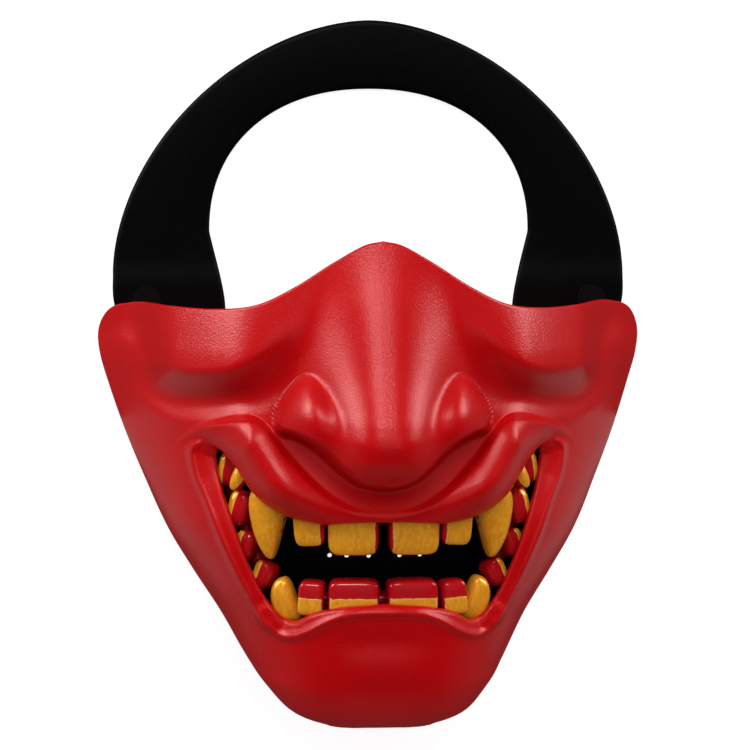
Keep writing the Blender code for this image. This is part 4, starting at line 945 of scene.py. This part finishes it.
def dress_shell(material):
    """The moulded shell, from the same face form as the frame's, at full fineness."""
    lines = shell_lines(SPOKES_PER_SIDE, OUTER_RINGS, INNER_RINGS, EDGE_LINES, InnerSurface())
    finished("moulded_shell", ring_of_lines(lines, True), material, "mask_shell", "mask_shell")


def seat(bm, node):
    """Move a body upright so that the middle of its height is that of its node."""
    low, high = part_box(node)
    heights = [vert.co.z for vert in bm.verts]
    bmesh.ops.translate(bm, verts=bm.verts, vec=(0, 0, (low.z + high.z - min(heights) - max(heights)) / 2))


# Gold on each tooth: the painted part of its front, in half widths and half heights of the tooth.
GOLD_AREAS = {
    # name: (inner side, outer side, low, high, least depth)
    "upper_incisor": (-0.86, 1.20, -1.2, 1.2, 0.25),
    "upper_lateral": (-0.72, 1.20, -1.2, 1.2, 0.20),
    "upper_fang": (-1.00, 1.20, -1.2, 1.2, -0.20),
    "upper_premolar": (-1.20, 1.20, -1.2, 1.2, 0.30),
    "lower_incisor": (-0.92, 0.95, -1.2, 0.00, 0.25),
    "lower_lateral": (-0.85, 0.92, -1.2, 0.05, 0.20),
    "lower_fang": (-1.20, 1.20, -1.2, 1.2, -0.20),
}
SIDE_GOLD = (0.15, 1.20, -0.85, 0.85, -0.30)   # the same for every side tooth


def dress_teeth(material):
    """Every tooth as a fine body, with the distance inside its gold area stored on its points."""
    for row in TEETH:
        name = row[0]
        half_wide, half_tall, half_thick = (value * HALF * MM for value in row[3:6])
        inner, outer, low, high, front = GOLD_AREAS.get(name, SIDE_GOLD)
        for side, label in ((1, "right"), (-1, "left")):
            bm = tooth(*row[1:], points_up=name.startswith("lower"))
            local = bm.verts.layers.float_vector["local"]
            paint = bm.verts.layers.float.new("paint")
            for vert in bm.verts:
                across, along, deep = vert[local]
                vert[paint] = min((across - inner) * half_wide, (outer - across) * half_wide,
                                  (along - low) * half_tall, (high - along) * half_tall,
                                  (deep - front) * half_thick)
            if side < 0:
                bmesh.ops.scale(bm, verts=bm.verts, vec=(-1, 1, 1))
            seat(bm, f"{name}_{label}")
            finished(f"painted_{name}_{label}", bm, material, "teeth", f"{name}_{label}")


def dress_gums(material):
    """The gums as smooth bars behind the teeth."""
    for name, both_halves, share, stops in GUMS:
        for side in ((1,) if both_halves else (1, -1)):
            label = name if both_halves else f"{name}_{'right' if side > 0 else 'left'}"
            bm = gum(share * GUM_DIAMETER, stops, both_halves, side)
            seat(bm, label)
            finished(f"varnished_{label}", bm, material, "gums", label)


def dress_strap(material):
    """The foam strap with its edges rounded over the whole thickness."""
    outer, inner = strap_edges(STRAP_STATIONS)
    mirror = np.array([-1.0, 1.0])
    outer = np.vstack([outer, outer[-2::-1] * mirror])
    inner = np.vstack([inner, inner[-2::-1] * mirror])
    width = np.linalg.norm(outer - inner, axis=1)
    turns = np.linspace(0, math.pi, STRAP_TURNS)
    section = [(0, 1 - math.sin(a), -math.cos(a)) for a in turns] + [(0.5, 0.0, 1.0)]
    section += [(1, 1 - math.sin(a), math.cos(a)) for a in turns] + [(0.5, 0.0, -1.0)]
    lines = []
    for edge, inset, height in section:
        share = edge + (1 - 2 * edge) * inset * STRAP_THICK / 2 / width
        flat = outer + (inner - outer) * share[:, None]
        lines.append(np.column_stack([flat, strap_height(flat[:, 1]) + height * STRAP_THICK / 2]))
    bm = ring_of_lines(lines, False)
    close_ends(bm)
    finished("foam_strap", bm, material, "head_strap", "head_strap")


# Soft boxes: places, targets and sizes in metres, powers in watts.
MIDDLE = (0.0, 0.0, 0.04)
SOFTBOXES = (
    # name, place, target, size, power, lights, mirrored
    ("key_top", (-0.12, 0.78, 0.68), MIDDLE, (0.40, 0.28), 4.0, True, True),
    ("fill_top", (0.0, 0.5, 1.5), MIDDLE, (1.6, 1.6), 22.0, True, False),
    ("fill_front", (0.0, -1.3, 0.55), MIDDLE, (1.6, 0.8), 5.0, True, False),
    ("key_left", (-0.80, 0.58, 0.12), MIDDLE, (0.60, 0.24), 7.0, True, True),
    # The cards lie on the table beside the jaw and give nothing but the pale sheen along its flanks.
    ("card_left", (-0.12, -0.07, 0.003), (-0.12, -0.07, 1.0), (0.07, 0.10), 0.006, False, True),
    ("key_right", (0.80, 0.58, 0.12), MIDDLE, (0.60, 0.24), 5.6, True, True),
    ("card_right", (0.12, -0.07, 0.003), (0.12, -0.07, 1.0), (0.07, 0.10), 0.006, False, True),
)
TABLE_HALF = 2.5             # half the table's side, in metres
TABLE_GLOW = 0.85
ROOM_GLOW = 0.03

# Camera: turned to the mask's left and risen towards its forehead, in degrees; lengths in metres.
CAMERA_TURN = -4.0
CAMERA_RISE = 5.0
CAMERA_DISTANCE = 1.1
SUBJECT_UP = 0.1165          # the point that it looks at, above the chin
SUBJECT_HEIGHT = 0.045       # and above the table
METRES_PER_PIXEL = 0.0003345   # at that point
PICTURE_WIDTH = 750          # in pixels
PICTURE_SHIFT = -2.6         # sideways, in pixels
SENSOR_WIDTH = 36.0          # in mm


def softbox(name, place, target, size, power, lights, mirrored):
    """A rectangular light. lights: it falls on the pieces. mirrored: it shows in glossy surfaces."""
    lamp = bpy.data.lights.new(name, "AREA")
    lamp.shape = "RECTANGLE"
    lamp.size, lamp.size_y = size
    lamp.energy = power
    thing = bpy.data.objects.new(name, lamp)
    bpy.context.scene.collection.objects.link(thing)
    thing.visible_camera = lights
    thing.visible_diffuse = lights
    thing.visible_glossy = mirrored
    thing.location = place
    thing.rotation_euler = (Vector(target) - Vector(place)).to_track_quat("-Z", "Y").to_euler()


def studio():
    """Glowing white table, dim white room and soft boxes."""
    bm = bmesh.new()
    bmesh.ops.create_grid(bm, x_segments=1, y_segments=1, size=TABLE_HALF)
    mesh = bpy.data.meshes.new("white_table")
    bm.to_mesh(mesh)
    bm.free()
    floor = bpy.data.objects.new("white_table", mesh)
    bpy.context.scene.collection.objects.link(floor)
    material, _, shader, _ = new_material("opal_acrylic_light_table")
    shader.inputs["Base Color"].default_value = hex_color("#8C8C8C")
    shader.inputs["Roughness"].default_value = 0.8
    shader.inputs["Emission Color"].default_value = (1.0, 1.0, 1.0, 1.0)
    shader.inputs["Emission Strength"].default_value = TABLE_GLOW
    mesh.materials.append(material)
    # Kept out of the lacquer's reflections, as by a polarising filter: the undersides stay deep red.
    floor.visible_glossy = False
    world = bpy.data.worlds.new("white_room")
    world.use_nodes = True
    background = world.node_tree.nodes["Background"]
    background.inputs["Color"].default_value = (1.0, 1.0, 1.0, 1.0)
    background.inputs["Strength"].default_value = ROOM_GLOW
    bpy.context.scene.world = world
    for row in SOFTBOXES:
        softbox(*row)
    bpy.context.scene.view_settings.view_transform = "Standard"


def camera():
    """Camera above the mask, looking almost straight down at the face."""
    turn = math.radians(CAMERA_TURN)
    rise = math.radians(CAMERA_RISE)
    towards = Vector((math.sin(turn) * math.cos(rise), math.sin(rise), math.cos(turn) * math.cos(rise)))
    right = Vector((math.cos(turn), 0.0, -math.sin(turn)))
    matrix = Matrix((right, towards.cross(right), towards)).transposed().to_4x4()
    matrix.translation = Vector((0.0, CHIN_Y + SUBJECT_UP, SUBJECT_HEIGHT)) + towards * CAMERA_DISTANCE
    lens = bpy.data.cameras.new("camera")
    lens.sensor_width = SENSOR_WIDTH
    lens.lens = SENSOR_WIDTH * CAMERA_DISTANCE / METRES_PER_PIXEL / PICTURE_WIDTH
    lens.shift_x = PICTURE_SHIFT / PICTURE_WIDTH
    thing = bpy.data.objects.new("camera", lens)
    thing.matrix_world = matrix
    bpy.context.scene.collection.objects.link(thing)
    bpy.context.scene.camera = thing


def dress_plain(node, material):
    """Give a node of the frame that is shown as it is its material."""
    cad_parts[node].data.materials.clear()
    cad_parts[node].data.materials.append(material)


def main():
    """Set the studio up and dress every piece."""
    camera()
    studio()
    dress_shell(red_satin())
    dress_teeth(tooth_paint())
    dress_gums(varnished_red())
    dress_strap(black_foam())
    nylon = black_nylon()
    for label in ("left", "right"):
        dress_plain(f"strap_stud_{label}", nylon)
        dress_plain(f"strap_cap_{label}", nylon)
    dress_plain("mouth_screen", black_panel())


main()
